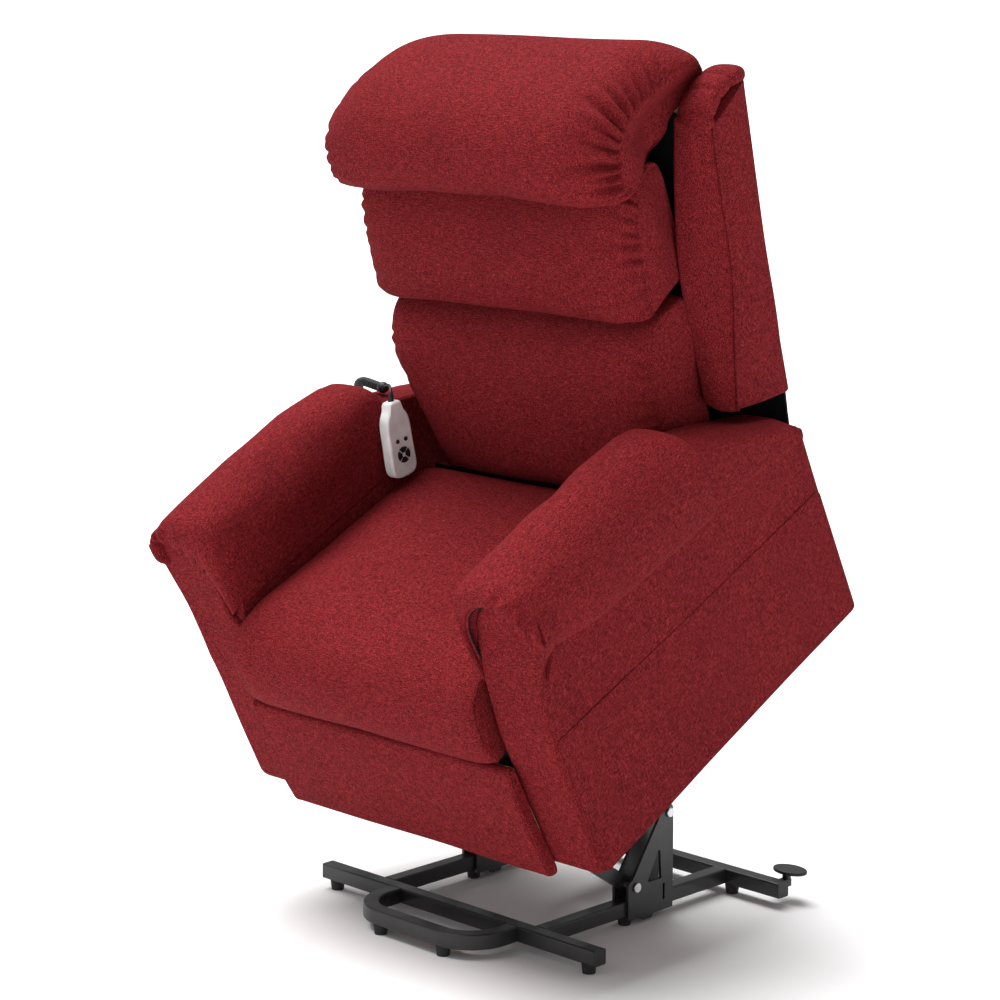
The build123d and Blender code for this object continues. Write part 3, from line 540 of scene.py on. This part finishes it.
def inflate():
    """Runs the cloth simulation of every piece that has pinned points, and keeps its result."""
    running = []
    for item in SOFT:
        if item["pinned"] is None:
            continue
        grid = item["grid"]
        piece = build_mesh(item["name"] + "_cloth", grid)
        finish_normals(piece)
        weights = item["pinned"](grid)[1:-1].reshape(-1)
        group = piece.vertex_groups.new(name="pinned")
        for index in np.nonzero(weights > 0)[0]:
            group.add([int(index)], float(weights[index]), "REPLACE")
        group.add([len(weights), len(weights) + 1], 1.0, "REPLACE")
        cloth = piece.modifiers.new("Cloth", "CLOTH")
        settings = cloth.settings
        settings.quality = 4
        settings.mass = 0.25
        settings.tension_stiffness = 18
        settings.compression_stiffness = 12
        settings.shear_stiffness = 6
        settings.bending_stiffness = 2.0
        settings.shrink_min = -0.006
        settings.use_pressure = True
        settings.uniform_pressure_force = PRESSURE
        settings.vertex_group_mass = "pinned"
        settings.effector_weights.gravity = 0
        cloth.collision_settings.use_collision = False
        cloth.collision_settings.use_self_collision = False
        cloth.point_cache.frame_start = 1
        cloth.point_cache.frame_end = LAST_FRAME
        running.append((item, piece))
    for step in range(1, LAST_FRAME + 1):
        bpy.context.scene.frame_set(step)
    graph = bpy.context.evaluated_depsgraph_get()
    for item, piece in running:
        mesh = piece.evaluated_get(graph).to_mesh()
        after = np.empty(len(mesh.vertices) * 3)
        mesh.vertices.foreach_get("co", after)
        after = after.reshape(-1, 3)[:-2]
        before = raised(item["grid"][1:-1]).reshape(-1, 3)
        move = evened((after - before).reshape(item["grid"][1:-1].shape), 12).reshape(-1, 3)
        size = np.linalg.norm(move, axis=1, keepdims=True)
        move *= np.minimum(1, SWELL_CAP / np.maximum(size, 1e-9))
        item["grid"][1:-1] = lowered(before + move).reshape(item["grid"][1:-1].shape)
        bpy.data.objects.remove(piece)
    bpy.context.scene.frame_set(1)


def fold_depth(arc, edge, folds, around):
    """How far each point sinks, in mm, in folds that run in from a seam.

    A fold is (place along the seam, length, lean, depth, width), and the seam is `around` long."""
    sink = np.zeros(np.broadcast(arc, edge).shape)
    for place, length, lean, depth, width in folds:
        share = np.clip(edge / length, 0, 1)
        centre = place + lean * edge + 0.12 * length * np.sin(share * 2.4)
        off = np.abs((arc - centre + around / 2) % around - around / 2)
        wide = width * (0.5 + 1.0 * share)
        fade = (1 - share) ** 1.1 * np.clip(0.6 + edge / 20, 0, 1) * (edge > -8)
        valley = np.exp(-(off / wide) ** 1.25)
        ridge = np.exp(-((off - 2.3 * wide) / (1.3 * wide)) ** 2)
        sink += depth * fade * (valley - 0.55 * ridge)
    return sink


def random_folds(seed, start, end, step, length, depth, width=4.2, fan=0.0):
    """Uneven folds between two places along a seam; fan turns them away from the middle."""
    random = np.random.default_rng(seed)
    folds = []
    place = start
    while place < end:
        share = (place - start) / max(end - start, 1) * 2 - 1
        folds.append((place, length * random.uniform(0.5, 1.25),
                      fan * share + random.uniform(-0.12, 0.12),
                      depth * random.uniform(0.55, 1.2), width * random.uniform(0.75, 1.3)))
        place += step * random.uniform(0.6, 1.45)
    return folds


def dress(item):
    """Refines a piece's grid, sinks its folds and seams, and makes its mesh."""
    grid = item["grid"]
    flat = grid[len(grid) // 2]
    steps = np.linalg.norm(np.roll(flat, -1, 0) - flat, axis=1)
    arc = np.r_[0, np.cumsum(steps)[:-1]]
    around = steps.sum()
    arc = (arc[:, None] * [1, 1] + np.outer(steps, [0, 0.5])).reshape(-1)
    grid = doubled(doubled(grid, False), True)
    normal = outward(grid)
    size, reach = item["lumps"]
    sink = -size * waves(grid, reach, len(item["name"]))
    sink[0] = sink[-1] = 0
    gaps = np.linalg.norm(np.diff(grid, axis=0), axis=2)
    along = np.concatenate([np.zeros((1, grid.shape[1])), np.cumsum(gaps, axis=0)])
    for row, direction, folds in item["folds"]:
        edge = (along - along[2 * row]) * direction
        sink += fold_depth(arc[None, :], edge, folds, around)
    for row, deep in item["seams"]:
        edge = along - along[2 * row]
        groove = np.exp(-(edge / (1.6 + 0.4 * deep)) ** 2)
        lips = np.exp(-((np.abs(edge) - 8) / 4) ** 2)
        sink += deep * (groove - 0.28 * lips)
    piece = build_mesh(item["name"], grid - normal * sink[..., None])
    finish_normals(piece)
    wear(piece, CHENILLE, item["body"])
    if item["nodes"]:
        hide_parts(*item["nodes"])


# How far closed each ring of a pillow's side panel is
CLOSING = (0.05, 0.12, 0.22, 0.36, 0.52, 0.70, 0.88, 1.0)


def pillow_rows(outline, ends, bulge, reach=60, step=9, sink=0.0, narrow=None):
    """A pillow's grid: a side outline swept across the chair, drawn in towards both end seams.

    An end is (start, seam, centre, end_y, end_z): the section keeps its size up to x = start
    and shrinks about `centre` to end_y and end_z times its size at the seam; a side panel that
    bulges outwards closes the end. The rows of the two seams come back with the grid."""
    loop = rounded(outline, reach, spacing=step)
    middle = loop.mean(axis=0)
    away = loop - middle
    loop = middle + away * (1 - sink / np.linalg.norm(away, axis=1, keepdims=True))
    limit = math.radians(78)
    rows = []
    for side, (start, seam, centre, end_y, end_z) in zip((-1, 1), ends):
        half = [(x, 0.0, 0.0) for x in np.arange(0 if side > 0 else step, start, step + 1)]
        for angle in np.linspace(0, limit, 13):
            half.append((start + (seam - start) * math.sin(angle) / math.sin(limit),
                         (1 - math.cos(angle)) / (1 - math.cos(limit)), 0.0))
        for share in CLOSING:
            half.append((seam + bulge * math.sin(share * math.pi / 2), 1.0, share))
        centre = np.array(centre, float)
        rings = []
        for x, shrunk, closed in half:
            ring = centre + (loop - centre) * [1 - (1 - end_y) * shrunk, 1 - (1 - end_z) * shrunk]
            heart = ring.mean(axis=0)
            ring = heart + (ring - heart) * (1 - closed)
            rings.append(at_x(ring, side * x))
        rows = rings[::-1] if side < 0 else rows + rings
    grid = np.array(rows)
    if narrow:
        grid[..., 0] *= narrow(grid)
    return grid, len(CLOSING), len(grid) - len(CLOSING) - 1


def blend_in(values, start, end):
    """A smooth step from 0 at start to 1 at end."""
    share = np.clip((values - start) / (end - start), 0, 1)
    return share * share * (3 - 2 * share)


# Pleats at the right end of the head pillow: place along the seam, length, lean, depth, width
HEAD_PLEATS = [
    (34, 64, 0.15, 8, 6), (62, 88, 0.05, 12, 7), (90, 100, -0.05, 13, 7.5), (114, 72, -0.1, 10, 6),
    (136, 104, -0.1, 14, 8), (166, 92, 0.05, 12, 7), (188, 70, 0.2, 9, 6), (212, 112, 0.3, 14, 8),
    (240, 96, 0.45, 12, 7), (262, 74, 0.6, 9, 6), (288, 104, 0.7, 12, 7.5), (318, 84, 0.8, 9, 6.5),
    (346, 60, 0.8, 6, 6),
]


def add_back_pillows():
    """Three stuffed pillows, each overhanging the one below, gathered at both ends."""
    lower = [(485, 262), (474, 335), (470, 441), (487, 530), (516, 580), (560, 600), (645, 596),
             (632, 420), (606, 340), (556, 292), (538, 264)]
    middle = [(514, 588), (523, 640), (538, 710), (565, 775), (610, 806), (690, 806), (672, 690),
              (650, 600), (600, 602), (560, 600)]
    head = [(575, 772), (528, 786), (524, 838), (540, 902), (598, 944), (690, 960), (762, 954),
            (818, 918), (842, 868), (834, 848), (732, 846), (706, 806), (620, 800)]

    def between_arms(grid):
        return 1 - (1 - 0.955) * (1 - blend_in(grid[..., 2], 430, 530))

    def between_wings(grid):
        room = WING_INNER - 10
        behind = blend_in(grid[..., 1], 590, 690) * (1 - blend_in(grid[..., 2], 850, 900))
        return 1 - behind * np.maximum(0, 1 - room / np.maximum(np.abs(grid[..., 0]), room))

    # Name, node, outline, ends, corner reach, what narrows it, y behind which it is held, where
    # the folds of its left and right ends lie, their depth, and their seed
    plans = [
        ("lower_pillow", "lower_back_pillow", lower, ((228, 279, (650, 440), 0.86, 0.95),
                                                      (222, 276, (650, 440), 0.84, 0.95)),
         26, between_arms, 570, (150, 300), (150, 300), 6.5, 5),
        ("middle_pillow", "middle_back_pillow", middle, ((225, 296, (700, 680), 0.90, 0.93),
                                                         (222, 281, (700, 660), 0.82, 0.92)),
         42, between_wings, 600, (20, 190), (20, 215), 7.0, 12),
        ("head_pillow", "head_back_pillow", head, ((165, 312, (775, 792), 0.91, 0.70),
                                                   (205, 290, (785, 812), 0.82, 0.66)),
         55, between_wings, 650, (40, 330), (30, 350), 10.5, 23),
    ]
    for name, part, outline, ends, reach, narrow, rest, left, right, deep, seed in plans:
        grid, first, last = pillow_rows(outline, ends, 9, reach, 9, 7.0, narrow)

        def pinned(grid, first=first, last=last, rest=rest):
            weights = (grid[..., 1] > rest).astype(float) * 0.9
            weights[first] = weights[last] = 1.0
            weights[:first] = np.maximum(weights[:first], 0.6)
            weights[last + 1:] = np.maximum(weights[last + 1:], 0.6)
            return weights

        if name == "head_pillow":
            folds = [(first, 1, random_folds(seed, *left, 34, 76, 5, 7, 0.4)),
                     (last, -1, HEAD_PLEATS),
                     (last, 1, random_folds(seed + 3, *right, 26, 16, 3.5, 4))]
        else:
            folds = [(first, 1, random_folds(seed, *left, 34, 52, 3, 6.5, 0.4)),
                     (last, -1, random_folds(seed + 1, *right, 21, 64, 7.5, 5.5, 0.45)),
                     (last, 1, random_folds(seed + 3, *right, 14, 14, 2.2, 3))]
        soften(name, "back", [part], grid, pinned, folds, (2.0, 120), 0.75,
               ((first, 1.8), (last, 1.8)))


def add_seat_cushion():
    """The seat, whose front rolls down over the rail; its end seams are gathered in front."""
    outline = [(-16, 184), (-32, 217), (-31, 285), (-12, 325), (45, 343), (240, 337), (440, 324),
               (474, 310), (474, 241), (34, 241), (10, 198)]
    left = (222, 268, (250, 262), 0.985, 0.90)
    right = (212, 264, (250, 262), 0.97, 0.87)

    def between_arms(grid):
        return 1 - (1 - 0.985) * blend_in(grid[..., 1], -6, 24)

    grid, first, last = pillow_rows(outline, (left, right), 3, 30, 9, 3.0, between_arms)

    def pinned(grid):
        weights = ((grid[..., 2] < 250) & (grid[..., 1] > 5)).astype(float)
        weights = np.maximum(weights, (grid[..., 1] > 450) * 1.0)
        weights[:first + 1] = 1.0
        weights[last:] = 1.0
        return weights

    folds = [
        (first, 1, random_folds(31, 15, 60, 14, 16, 1.6, 2.6)),
        (last, -1, random_folds(37, 8, 150, 8.5, 30, 4.6, 2.7)),
    ]
    soften("seat_pad", "seat", ["seat_cushion"], grid, pinned, folds, (1.2, 150), 0.7,
           ((first, 1.8), (last, 1.8)))


# Along the arm: y, height of the outer lip, height of the crown, height of the box
PAD_STATIONS = np.array([
    (34, 372, 490, 400), (60, 370, 500, 404), (180, 363, 508, 404), (310, 355, 507, 404),
    (400, 350, 496, 404), (424, 350, 488, 410),
], float)

# Points of a pad's section over its top, down its outer side and back underneath
PAD_TOP = 70
PAD_SIDE = 22
PAD_UNDER = 28


def three_parts(upper, outer, under):
    """A closed section of a pad: over the top, down the outer side, and back underneath."""
    parts = ((upper, PAD_TOP), (outer, PAD_SIDE), (under, PAD_UNDER))
    return np.vstack([line_through(line, count + 1)[:-1] for line, count in parts])


def pad_section(y):
    """The pad's cross-section at y, for the arm at the chair's right."""
    lip, crown, base = (np.interp(y, PAD_STATIONS[:, 0], PAD_STATIONS[:, k]) for k in (1, 2, 3))
    rise = crown - base
    tuck = 1 - blend_in(y, 60, 170)
    shoulder = (PAD_OUTER - 1 - 9 * tuck, base + 0.42 * rise)
    upper = [(PAD_INNER + 5, 346), (PAD_INNER + 3, 384), (PAD_INNER + 1, base + 0.34 * rise),
             (PAD_INNER + 6, base + 0.78 * rise), (PAD_INNER + 30, base + 0.97 * rise),
             (PAD_INNER + 72, base + rise), (PAD_INNER + 110, base + 0.95 * rise),
             (PAD_OUTER - 14, base + 0.76 * rise), shoulder]
    corner = (PAD_OUTER - 10 - 22 * tuck, lip + 1)
    outer = [shoulder, (PAD_OUTER - 13 * tuck, base), (PAD_OUTER - 3 - 20 * tuck, lip + 14), corner]
    under = [corner, (ARM_OUTER + 5 - 4 * tuck, lip + 3), (ARM_OUTER - 5, lip + 26),
             (PAD_INNER + 70, 392), (PAD_INNER + 16, 384), (PAD_INNER + 5, 346)]
    return three_parts(upper, outer, under)


# The arch of each arm's front, from its inner side up and over, for the side 1 or -1
ARCHES = {
    1: [(272, 328), (268, 396), (279, 434), (305, 460), (342, 471), (377, 462), (409, 442)],
    -1: [(287, 328), (303, 383), (316, 409), (339, 433), (366, 449), (396, 457), (424, 449)],
}
ARCH_OUTER = {1: [(408, 418), (399, 393), (390, 377)], -1: [(425, 430), (412, 406), (388, 388)]}
ARCH_UNDER = [(390, 377), (382, 380), (372, 394), (330, 398), (296, 390)]


def add_arm_pads():
    """The rolled pads: pleated over the front panel's arch, rounded and tucked in at the rear."""
    for side, word in ((1, "right"), (-1, "left")):
        over = ARCHES[side]
        arch = three_parts(over, over[-1:] + ARCH_OUTER[side], ARCH_UNDER + over[:1])
        heart = arch.mean(axis=0)
        above = blend_in(arch[:, 1], 385, 425)
        above[:PAD_TOP] = 1
        above[PAD_TOP + PAD_SIDE:] = 0
        rows = []
        full_from, full_to = 66, 424
        full, last = pad_section(full_from), pad_section(full_to)
        inside = 52 if side > 0 else 42
        for share in (1.0, 0.86, 0.66, 0.44, 0.22, 0.08):
            ring = heart + (arch - heart) * (1 - share)
            rows.append(at_y(ring, inside))
        seam = len(rows)
        for share, y in ((0.0, 31), (0.10, 24), (0.24, 19.5), (0.42, 18), (0.62, 21), (0.80, 29),
                         (0.93, 42)):
            ring = arch + (full - arch) * share
            rows.append(at_y(ring, y * above + (46 + 12 * share) * (1 - above)))
        rows += [at_y(pad_section(y), y) for y in np.arange(full_from, full_to, 8)]
        middle = np.array([(PAD_INNER + PAD_OUTER) / 2, 416])
        for angle in np.linspace(10, 90, 9):
            shrink = math.cos(math.radians(angle)) ** 0.6 if angle < 89 else 0
            ring = middle + (last - middle) * shrink
            rows.append(at_y(ring, full_to + 20 * math.sin(math.radians(angle))))
        grid = np.array(rows)
        grid[..., 0] *= side

        def pinned(grid):
            weights = np.zeros(grid.shape[:2])
            weights[(grid[..., 2] < 400) & (np.abs(grid[..., 0]) < ARM_OUTER)] = 1.0
            weights[grid[..., 2] < 374] = 1.0
            weights[:, PAD_TOP:] = 0.9
            weights[:seam + 2] = 1.0
            weights[-4:] = 1.0
            return weights

        if side > 0:
            pleats = [(236, 58, 0.3, 5, 7), (262, 66, 0.5, 7.5, 7.5), (284, 60, 0.4, 8, 7)]
        else:
            pleats = [(128, 44, -0.2, 4, 5.5), (158, 52, -0.2, 6, 6), (192, 56, -0.1, 7, 6),
                      (228, 60, 0.1, 7, 6.5), (258, 58, 0.3, 7, 6.5), (284, 50, 0.3, 5, 6)]
        soften(word + "_arm_roll", "seat", [word + "_arm_pad"], grid, pinned, [(seam, 1, pleats)],
               (1.2, 110), 0.8, ((seam, 3.6),))


def spanned(near, far, first=3.0):
    """Places between two x values, close together near both and sparse half way."""
    places = []
    step = first
    at = near + step
    while at < (near + far) / 2:
        places.append(at)
        step *= 1.9
        at += step
    return places + [near + far - place for place in reversed(places)]


def box_rows(outline, near, far, edge, crown, reach, count, steps=5, heart=None):
    """A panel's grid between two x values: its edges are rolled and its faces crowned, in mm."""
    loop = rounded(outline, reach, count=count)
    heart = loop.mean(axis=0) if heart is None else np.array(heart, float)
    away = loop - heart
    distance = np.linalg.norm(away, axis=1, keepdims=True)
    half = []
    for share in (1.0, 0.97, 0.9, 0.8, 0.66, 0.5, 0.32, 0.16, 0.07):
        ring = heart + away * (1 - share) * (1 - edge / distance)
        half.append((ring, crown * (1 - (1 - share) ** 3)))
    for angle in np.linspace(90, 0, steps):
        ring = heart + away * (1 - edge * (1 - math.cos(math.radians(angle))) / distance)
        half.append((ring, -edge * (1 - math.sin(math.radians(angle)))))
    rows = [at_x(ring, near - out) for ring, out in half]
    rows += [at_x(loop, x) for x in spanned(near + edge, far - edge)]
    rows += [at_x(ring, far + out) for ring, out in reversed(half)]
    return np.array(rows)


def add_arm_boxes():
    """The arms' boxes: side, pocket below it, band behind the pad, and front panel."""
    side_outline = [(4, 3), (655, 3), (671, 345), (554, 406), (456, 448), (430, 430), (60, 398),
                    (42, 396), (12, 244)]
    band_outline = [(434, 434), (430, 343), (668, 316), (671, 333), (555, 394), (458, 436)]
    pocket_outline = [(6, 1), (653, 1), (662, 223), (14, 243)]
    for side, word in ((1, "right"), (-1, "left")):
        shell = box_rows(side_outline, ARM_INNER + 1, ARM_OUTER - 1, 6, 1, 10, 220, heart=(330, 200))
        top = np.interp(shell[..., 1], (430, 456, 554, 670), (440, 446, 403, 340))
        near_top = blend_in(shell[..., 2], top - 60, top) * blend_in(shell[..., 1], 425, 450)
        shell[..., 2] -= 9 * near_top * blend_in(shell[..., 0], 320, 376)
        shell[..., 0] *= side
        soften(word + "_arm_box", "seat", [word + "_arm_shell"], shell, lumps=(0.8, 140), fill=0.9)
        pocket = box_rows(pocket_outline, ARM_OUTER - 10, ARM_OUTER + 1.5, 3.5, 1.5, 8, 220)
        pocket[..., 0] *= side
        soften(word + "_arm_pocket", "seat", [], pocket, lumps=(0.9, 120), fill=0.9)
        band = box_rows(band_outline, ARM_OUTER - 24, ARM_OUTER + 4, 8, 1, 6, 200)
        band[..., 0] *= side
        soften(word + "_arm_band", "seat", [], band, lumps=(0.9, 90), fill=0.85)
        add_front_panel(side, word)


def panel_front(z, side):
    """How far back the face of the arm's front panel lies at a height."""
    back = (0, 9, 23, 45, 52) if side > 0 else (0, 9, 22, 35, 38)
    return np.interp(z, (0, 244, 330, 400, 470), back)


def add_front_panel(side, word):
    """The narrow padded panel that closes the arm's front, with a piped edge round its arch, and thin
    black strips that paint the shade of the creases under the arch and along the pad's lip.
    """
    outline = [(269, 1), (270, 240), (271, 320)] + [(x, z - 1) for x, z in ARCHES[side]]
    if side > 0:
        outline += [(411, 420), (409, 400), (401, 384), (387, 368), (378, 352), (377, 310),
                    (377, 240), (377, 1)]
    else:
        outline += [(434, 440), (432, 426), (423, 402), (406, 370), (392, 335), (385, 285),
                    (380, 236), (378, 185), (377, 1)]
    loop = rounded(outline, 14, count=190)
    heart = np.array([325, 210])
    away = loop - heart
    distance = np.linalg.norm(away, axis=1, keepdims=True)
    rows = [(heart + away * (1 - share), -3.6 + 1.2 * share)
            for share in (1.0, 0.9, 0.75, 0.6, 0.45, 0.3, 0.18)]
    for inset, out in ((9, -3.2), (5.5, -2.6), (2.8, -1.2), (1.0, 1.2), (0.2, 4), (0, 10), (0, 20)):
        rows.append((heart + away * (1 - inset / distance), out))
    rows += [(heart + away * (1 - share), 20.0) for share in (0.15, 0.3, 0.5, 0.7, 0.9, 1.0)]
    mirror = [side, 1]
    grid = [at_y(ring * mirror, panel_front(ring[:, 1], side) + out) for ring, out in rows]
    soften(word + "_arm_front", "seat", [word + "_arm_front_panel"], np.array(grid),
           lumps=(0.5, 90), fill=0.9)
    edge = line_through(ARCHES[side], 90)
    add_piping(word + "_arm_front_piping", at_y(edge * mirror, 29.0), 2.2, "seat", CHENILLE)
    # A thin black strip tucked just inside the piping along the arch: painted shade of the crease under
    # the pad's lip.
    inwards = np.array([340, 390]) - edge
    inner = edge + inwards * 3.2 / np.linalg.norm(inwards, axis=1, keepdims=True)
    add_piping(word + "_arm_front_tape", at_y(inner * mirror, 30.0), 1.4, "seat", LINING_AND_SHADE)
    # A thin black strip along the pad's outer lip: painted shade of the crease between the pad and the
    # arm's box.
    y = np.linspace(80, 426, 60)
    lip = np.column_stack([y, np.interp(y, PAD_STATIONS[:, 0], PAD_STATIONS[:, 1]) - 1.5])
    add_piping(word + "_arm_lip_painted_shade_strip", at_x(lip, side * (ARM_OUTER + 0.6)), 1.3, "seat", LINING_AND_SHADE)


def add_piping(name, path, radius, body, material):
    """A thin covered cord sewn along a seam, or a thin black strip laid along a crease as painted
    shade.
    """
    sides, ups = sweep_frames(path)
    turn = np.linspace(0, 2 * math.pi, 10, endpoint=False)
    rings = [path[0] + 0 * turn[:, None]]
    for point, side, up in zip(path, sides, ups):
        rings.append(point + radius * (np.cos(turn)[:, None] * side + np.sin(turn)[:, None] * up))
    rings.append(path[-1] + 0 * turn[:, None])
    piece = build_mesh(name, np.array(rings))
    finish_normals(piece)
    wear(piece, material, body)


def add_wings():
    """The padded sides of the back, with a rolled front border and piping."""
    inner_front = [(596, 420), (614, 520), (638, 629), (684, 740), (730, 830)]
    outer_front = [(604, 404), (646, 500), (690, 601), (722, 720), (748, 812)]
    inner_rear = [(700, 374), (736, 480), (760, 590), (794, 716), (828, 836)]
    outer_rear = [(716, 364), (750, 480), (775, 588), (810, 714), (843, 838)]
    lines = [line_through(line, 60) for line in (inner_front, outer_front, inner_rear, outer_rear)]
    for side, word in ((1, "right"), (-1, "left")):
        rows = []
        for fi, fo, ri, ro in zip(*lines):
            front_in = np.array([WING_INNER, *fi])
            front_out = np.array([WING_OUTER - 1, *fo])
            rear_in = np.array([WING_INNER, *ri])
            rear_out = np.array([WING_OUTER, *ro])
            border = (front_in + front_out) / 2 + np.array([2.5, -12, -1])
            cheek = (front_out + rear_out) / 2 + np.array([4, 0, 0])
            corners = [rear_in, front_in + np.array([0, 8, 0]), front_in + np.array([3, -3, 0]),
                       border, front_out + np.array([-2, -6, 0]), front_out + np.array([1.5, 4, 0]),
                       cheek, rear_out]
            rows.append(rounded(corners, 9, count=72))
        grid = np.array(rows[:1] * 5 + rows + rows[-1:] * 5)
        for at, ring, lift in ((range(5), rows[0], -1), (range(-1, -6, -1), rows[-1], 1)):
            heart = ring.mean(axis=0)
            for index, share in zip(at, (1.0, 0.75, 0.45, 0.2, 0.05)):
                grid[index] = heart + (ring - heart) * (1 - share)
                grid[index][:, 2] += lift * 2.5 * math.sqrt(share)
        grid[..., 0] *= side
        soften(word + "_wing_cover", "back", [word + "_wing"], grid, lumps=(0.8, 120), fill=0.85)
        path = at_x(lines[1] - [1, 0], side * (WING_OUTER + 1))
        add_piping(word + "_wing_piping", path, 2.3, "back", CHENILLE)
        add_wing_cap(side, word)


def add_wing_cap(side, word):
    """The top of the wing's border, folded over in pleats to a rounded end at the rear."""
    spine = line_through([(738, 800), (752, 829), (782, 846), (822, 850), (858, 838)], 46)
    tangent = np.gradient(spine, axis=0)
    tangent /= np.linalg.norm(tangent, axis=1, keepdims=True)
    across = np.column_stack([-tangent[:, 1], tangent[:, 0]])
    turn = np.linspace(0, 2 * math.pi, 64, endpoint=False)
    rows = []
    for index, (point, up) in enumerate(zip(spine, across)):
        share = index / (len(spine) - 1)
        rear_end = math.sqrt(max(1 - max(0, (share - 0.8) / 0.2) ** 2.2, 0))
        size = rear_end * math.sqrt(min(1, 0.25 + share * 7))
        pleat = sum(3.2 * math.exp(-((share - place) / 0.03) ** 2) for place in (0.2, 0.45, 0.66))
        rise = (15 - pleat) * size
        half = (32 - 0.6 * pleat) * size
        x = 301 + half * np.sign(np.cos(turn)) * np.abs(np.cos(turn)) ** 0.7
        up_by = rise * np.sign(np.sin(turn)) * np.abs(np.sin(turn)) ** 0.8
        rows.append(np.column_stack([x * side, point[0] + up[0] * up_by, point[1] + up[1] * up_by]))
    for end in (0, -1):
        rows[end] = np.repeat(rows[end].mean(axis=0)[None], len(turn), 0)
    soften(word + "_wing_cap", "back", [], np.array(rows), lumps=(0.8, 50), fill=0.8)


def add_back_panel():
    """The rear of the back: fabric behind, and black lining behind and below the pillows."""
    outline = [(724, 358), (774, 583), (845, 841), (836, 845), (765, 585), (714, 360)]
    panel = box_rows(outline, -WING_OUTER + 7, WING_OUTER - 7, 3, 1, 4, 200, heart=(769, 590))
    soften("back_rear_cover", "back", ["back_outer_panel"], panel, lumps=(0.6, 150), fill=0.95)
    tongue = [(726, 362), (672, 166), (661, 166), (714, 364)]
    flap = box_rows(tongue, -256, 256, 3, 1, 4, 160, heart=(693, 264))
    soften("back_rear_flap", "back", [], flap, lumps=(0.8, 110), fill=0.95)
    sheet = [(546, 270), (550, 282), (614, 348), (624, 370), (744, 834), (748, 832), (628, 369),
             (617, 345), (553, 280), (549, 269)]
    add_lining("back_lining", "back", sheet, -268, 268)
    add_lining("back_lower_lining", "back", [(690, 288), (716, 376), (720, 374), (694, 287)], -324, 324)
    post = [(546, 270), (550, 282), (614, 348), (626, 374), (640, 420), (662, 420), (650, 360),
            (636, 330), (580, 262), (565, 255)]
    for side, word in ((1, "right"), (-1, "left")):
        add_lining(word + "_post_lining", "back", post, side * 264, side * 267)
    seat_rear = [(477, 238), (477, 306), (480.5, 306), (480.5, 238)]
    add_lining("seat_rear_lining", "seat", seat_rear, -PAD_INNER, PAD_INNER)


def add_lining(name, body, outline, near, far):
    """A stretched sheet of black lining between two x values."""
    near, far = min(near, far), max(near, far)
    piece = build_mesh(name, box_rows(outline, near, far, 1, 0, 2, 160, steps=3))
    finish_normals(piece)
    wear(piece, LINING_AND_SHADE, body)


def add_footrest():
    """The closed footrest: a cover that wraps its board, softly padded in front."""
    outline = [(-3, -12), (-14, -14), (-23, -8), (-26, 30), (-27, 90), (-25, 150), (-20, 186),
               (-13, 191), (-3, 189)]
    end = (277, 285, (-8, 88), 0.85, 0.99)
    grid, first, last = pillow_rows(outline, (end, end), 1, 7, 5)
    soften("footrest_cover", "footrest", ["footrest_pad"], grid, lumps=(0.9, 120), fill=0.85,
           seams=((first, 1.8), (last, 1.8)))


def add_handset():
    """The handset's rounded case, with its face a little sunk, and the lead's strain relief."""
    top, bottom = np.array([434, 463.0]), np.array([397, 341.0])
    down = (bottom - top) / np.linalg.norm(bottom - top)
    across = np.array([-down[1], down[0]])
    sides = [(0, 9), (2, 12.5), (14, 15), (26, 23.5), (44, 26.5), (106, 27), (120, 25), (127, 15)]
    outline = [top + down * t + across * half for t, half in sides]
    outline += [top + down * t - across * half for t, half in reversed(sides)]
    rows = box_rows(outline, -256, -234, 5.5, -0.5, 16, 200, steps=9)
    case = build_mesh("handset_case", rows)
    finish_normals(case)
    wear(case, SLOT_MATERIALS["handset_case"], "seat")
    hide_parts("handset_front_shell", "handset_rear_shell")
    profile = [(0, 0), (0, 5.4), (0.12, 5.2), (0.5, 4.0), (0.95, 2.9), (1, 2.7), (1, 0)]
    relief = lathe("handset_strain_relief", profile, (-245, 432.5, 460.5), (-246, 442, 475))
    wear(relief, SLOT_MATERIALS["black_plastic"], "seat")


# ---------------------------------------------------------------- studio
def add_studio():
    """A wide round floor of white paper, an even white room, a high soft sun and a key light."""
    radius = 120
    turn = np.linspace(0, 2 * math.pi, 64, endpoint=False)
    ring = [(radius * math.cos(a), radius * math.sin(a), -0.0005) for a in turn]
    mesh = bpy.data.meshes.new("studio_floor")
    mesh.from_pydata(ring, [], [list(range(len(ring)))])
    floor = add_object("studio_floor", mesh)
    paper, _, _ = shader("studio_paper", (0.93, 0.93, 0.93), 0.95, Specular_IOR_Level=0.0)
    floor.data.materials.append(paper)
    world = bpy.data.worlds.new("studio")
    world.use_nodes = True
    background = world.node_tree.nodes["Background"].inputs
    background["Color"].default_value = (1, 1, 1, 1)
    background["Strength"].default_value = 0.38
    bpy.context.scene.world = world
    sky = bpy.data.lights.new("ceiling", "SUN")
    sky.energy = 4.9
    sky.angle = math.radians(50)
    lamp = add_object("ceiling", sky)
    lamp.rotation_euler = (math.radians(2), math.radians(-16), 0)
    key = bpy.data.lights.new("key", "AREA")
    key.size = 1.8
    key.energy = 10
    lamp = add_object("key", key)
    lamp.location = (-0.6, -2.0, 3.6)
    lamp.rotation_euler = (math.radians(33), 0, math.radians(-16))
    bpy.context.scene.view_settings.view_transform = "Standard"


# ---------------------------------------------------------------- the chair
add_camera()
add_cord()
add_back_pillows()
add_seat_cushion()
add_arm_pads()
add_arm_boxes()
add_wings()
add_back_panel()
add_footrest()
add_handset()
inflate()
for item in SOFT:
    dress(item)
paint_cad()
add_studio()
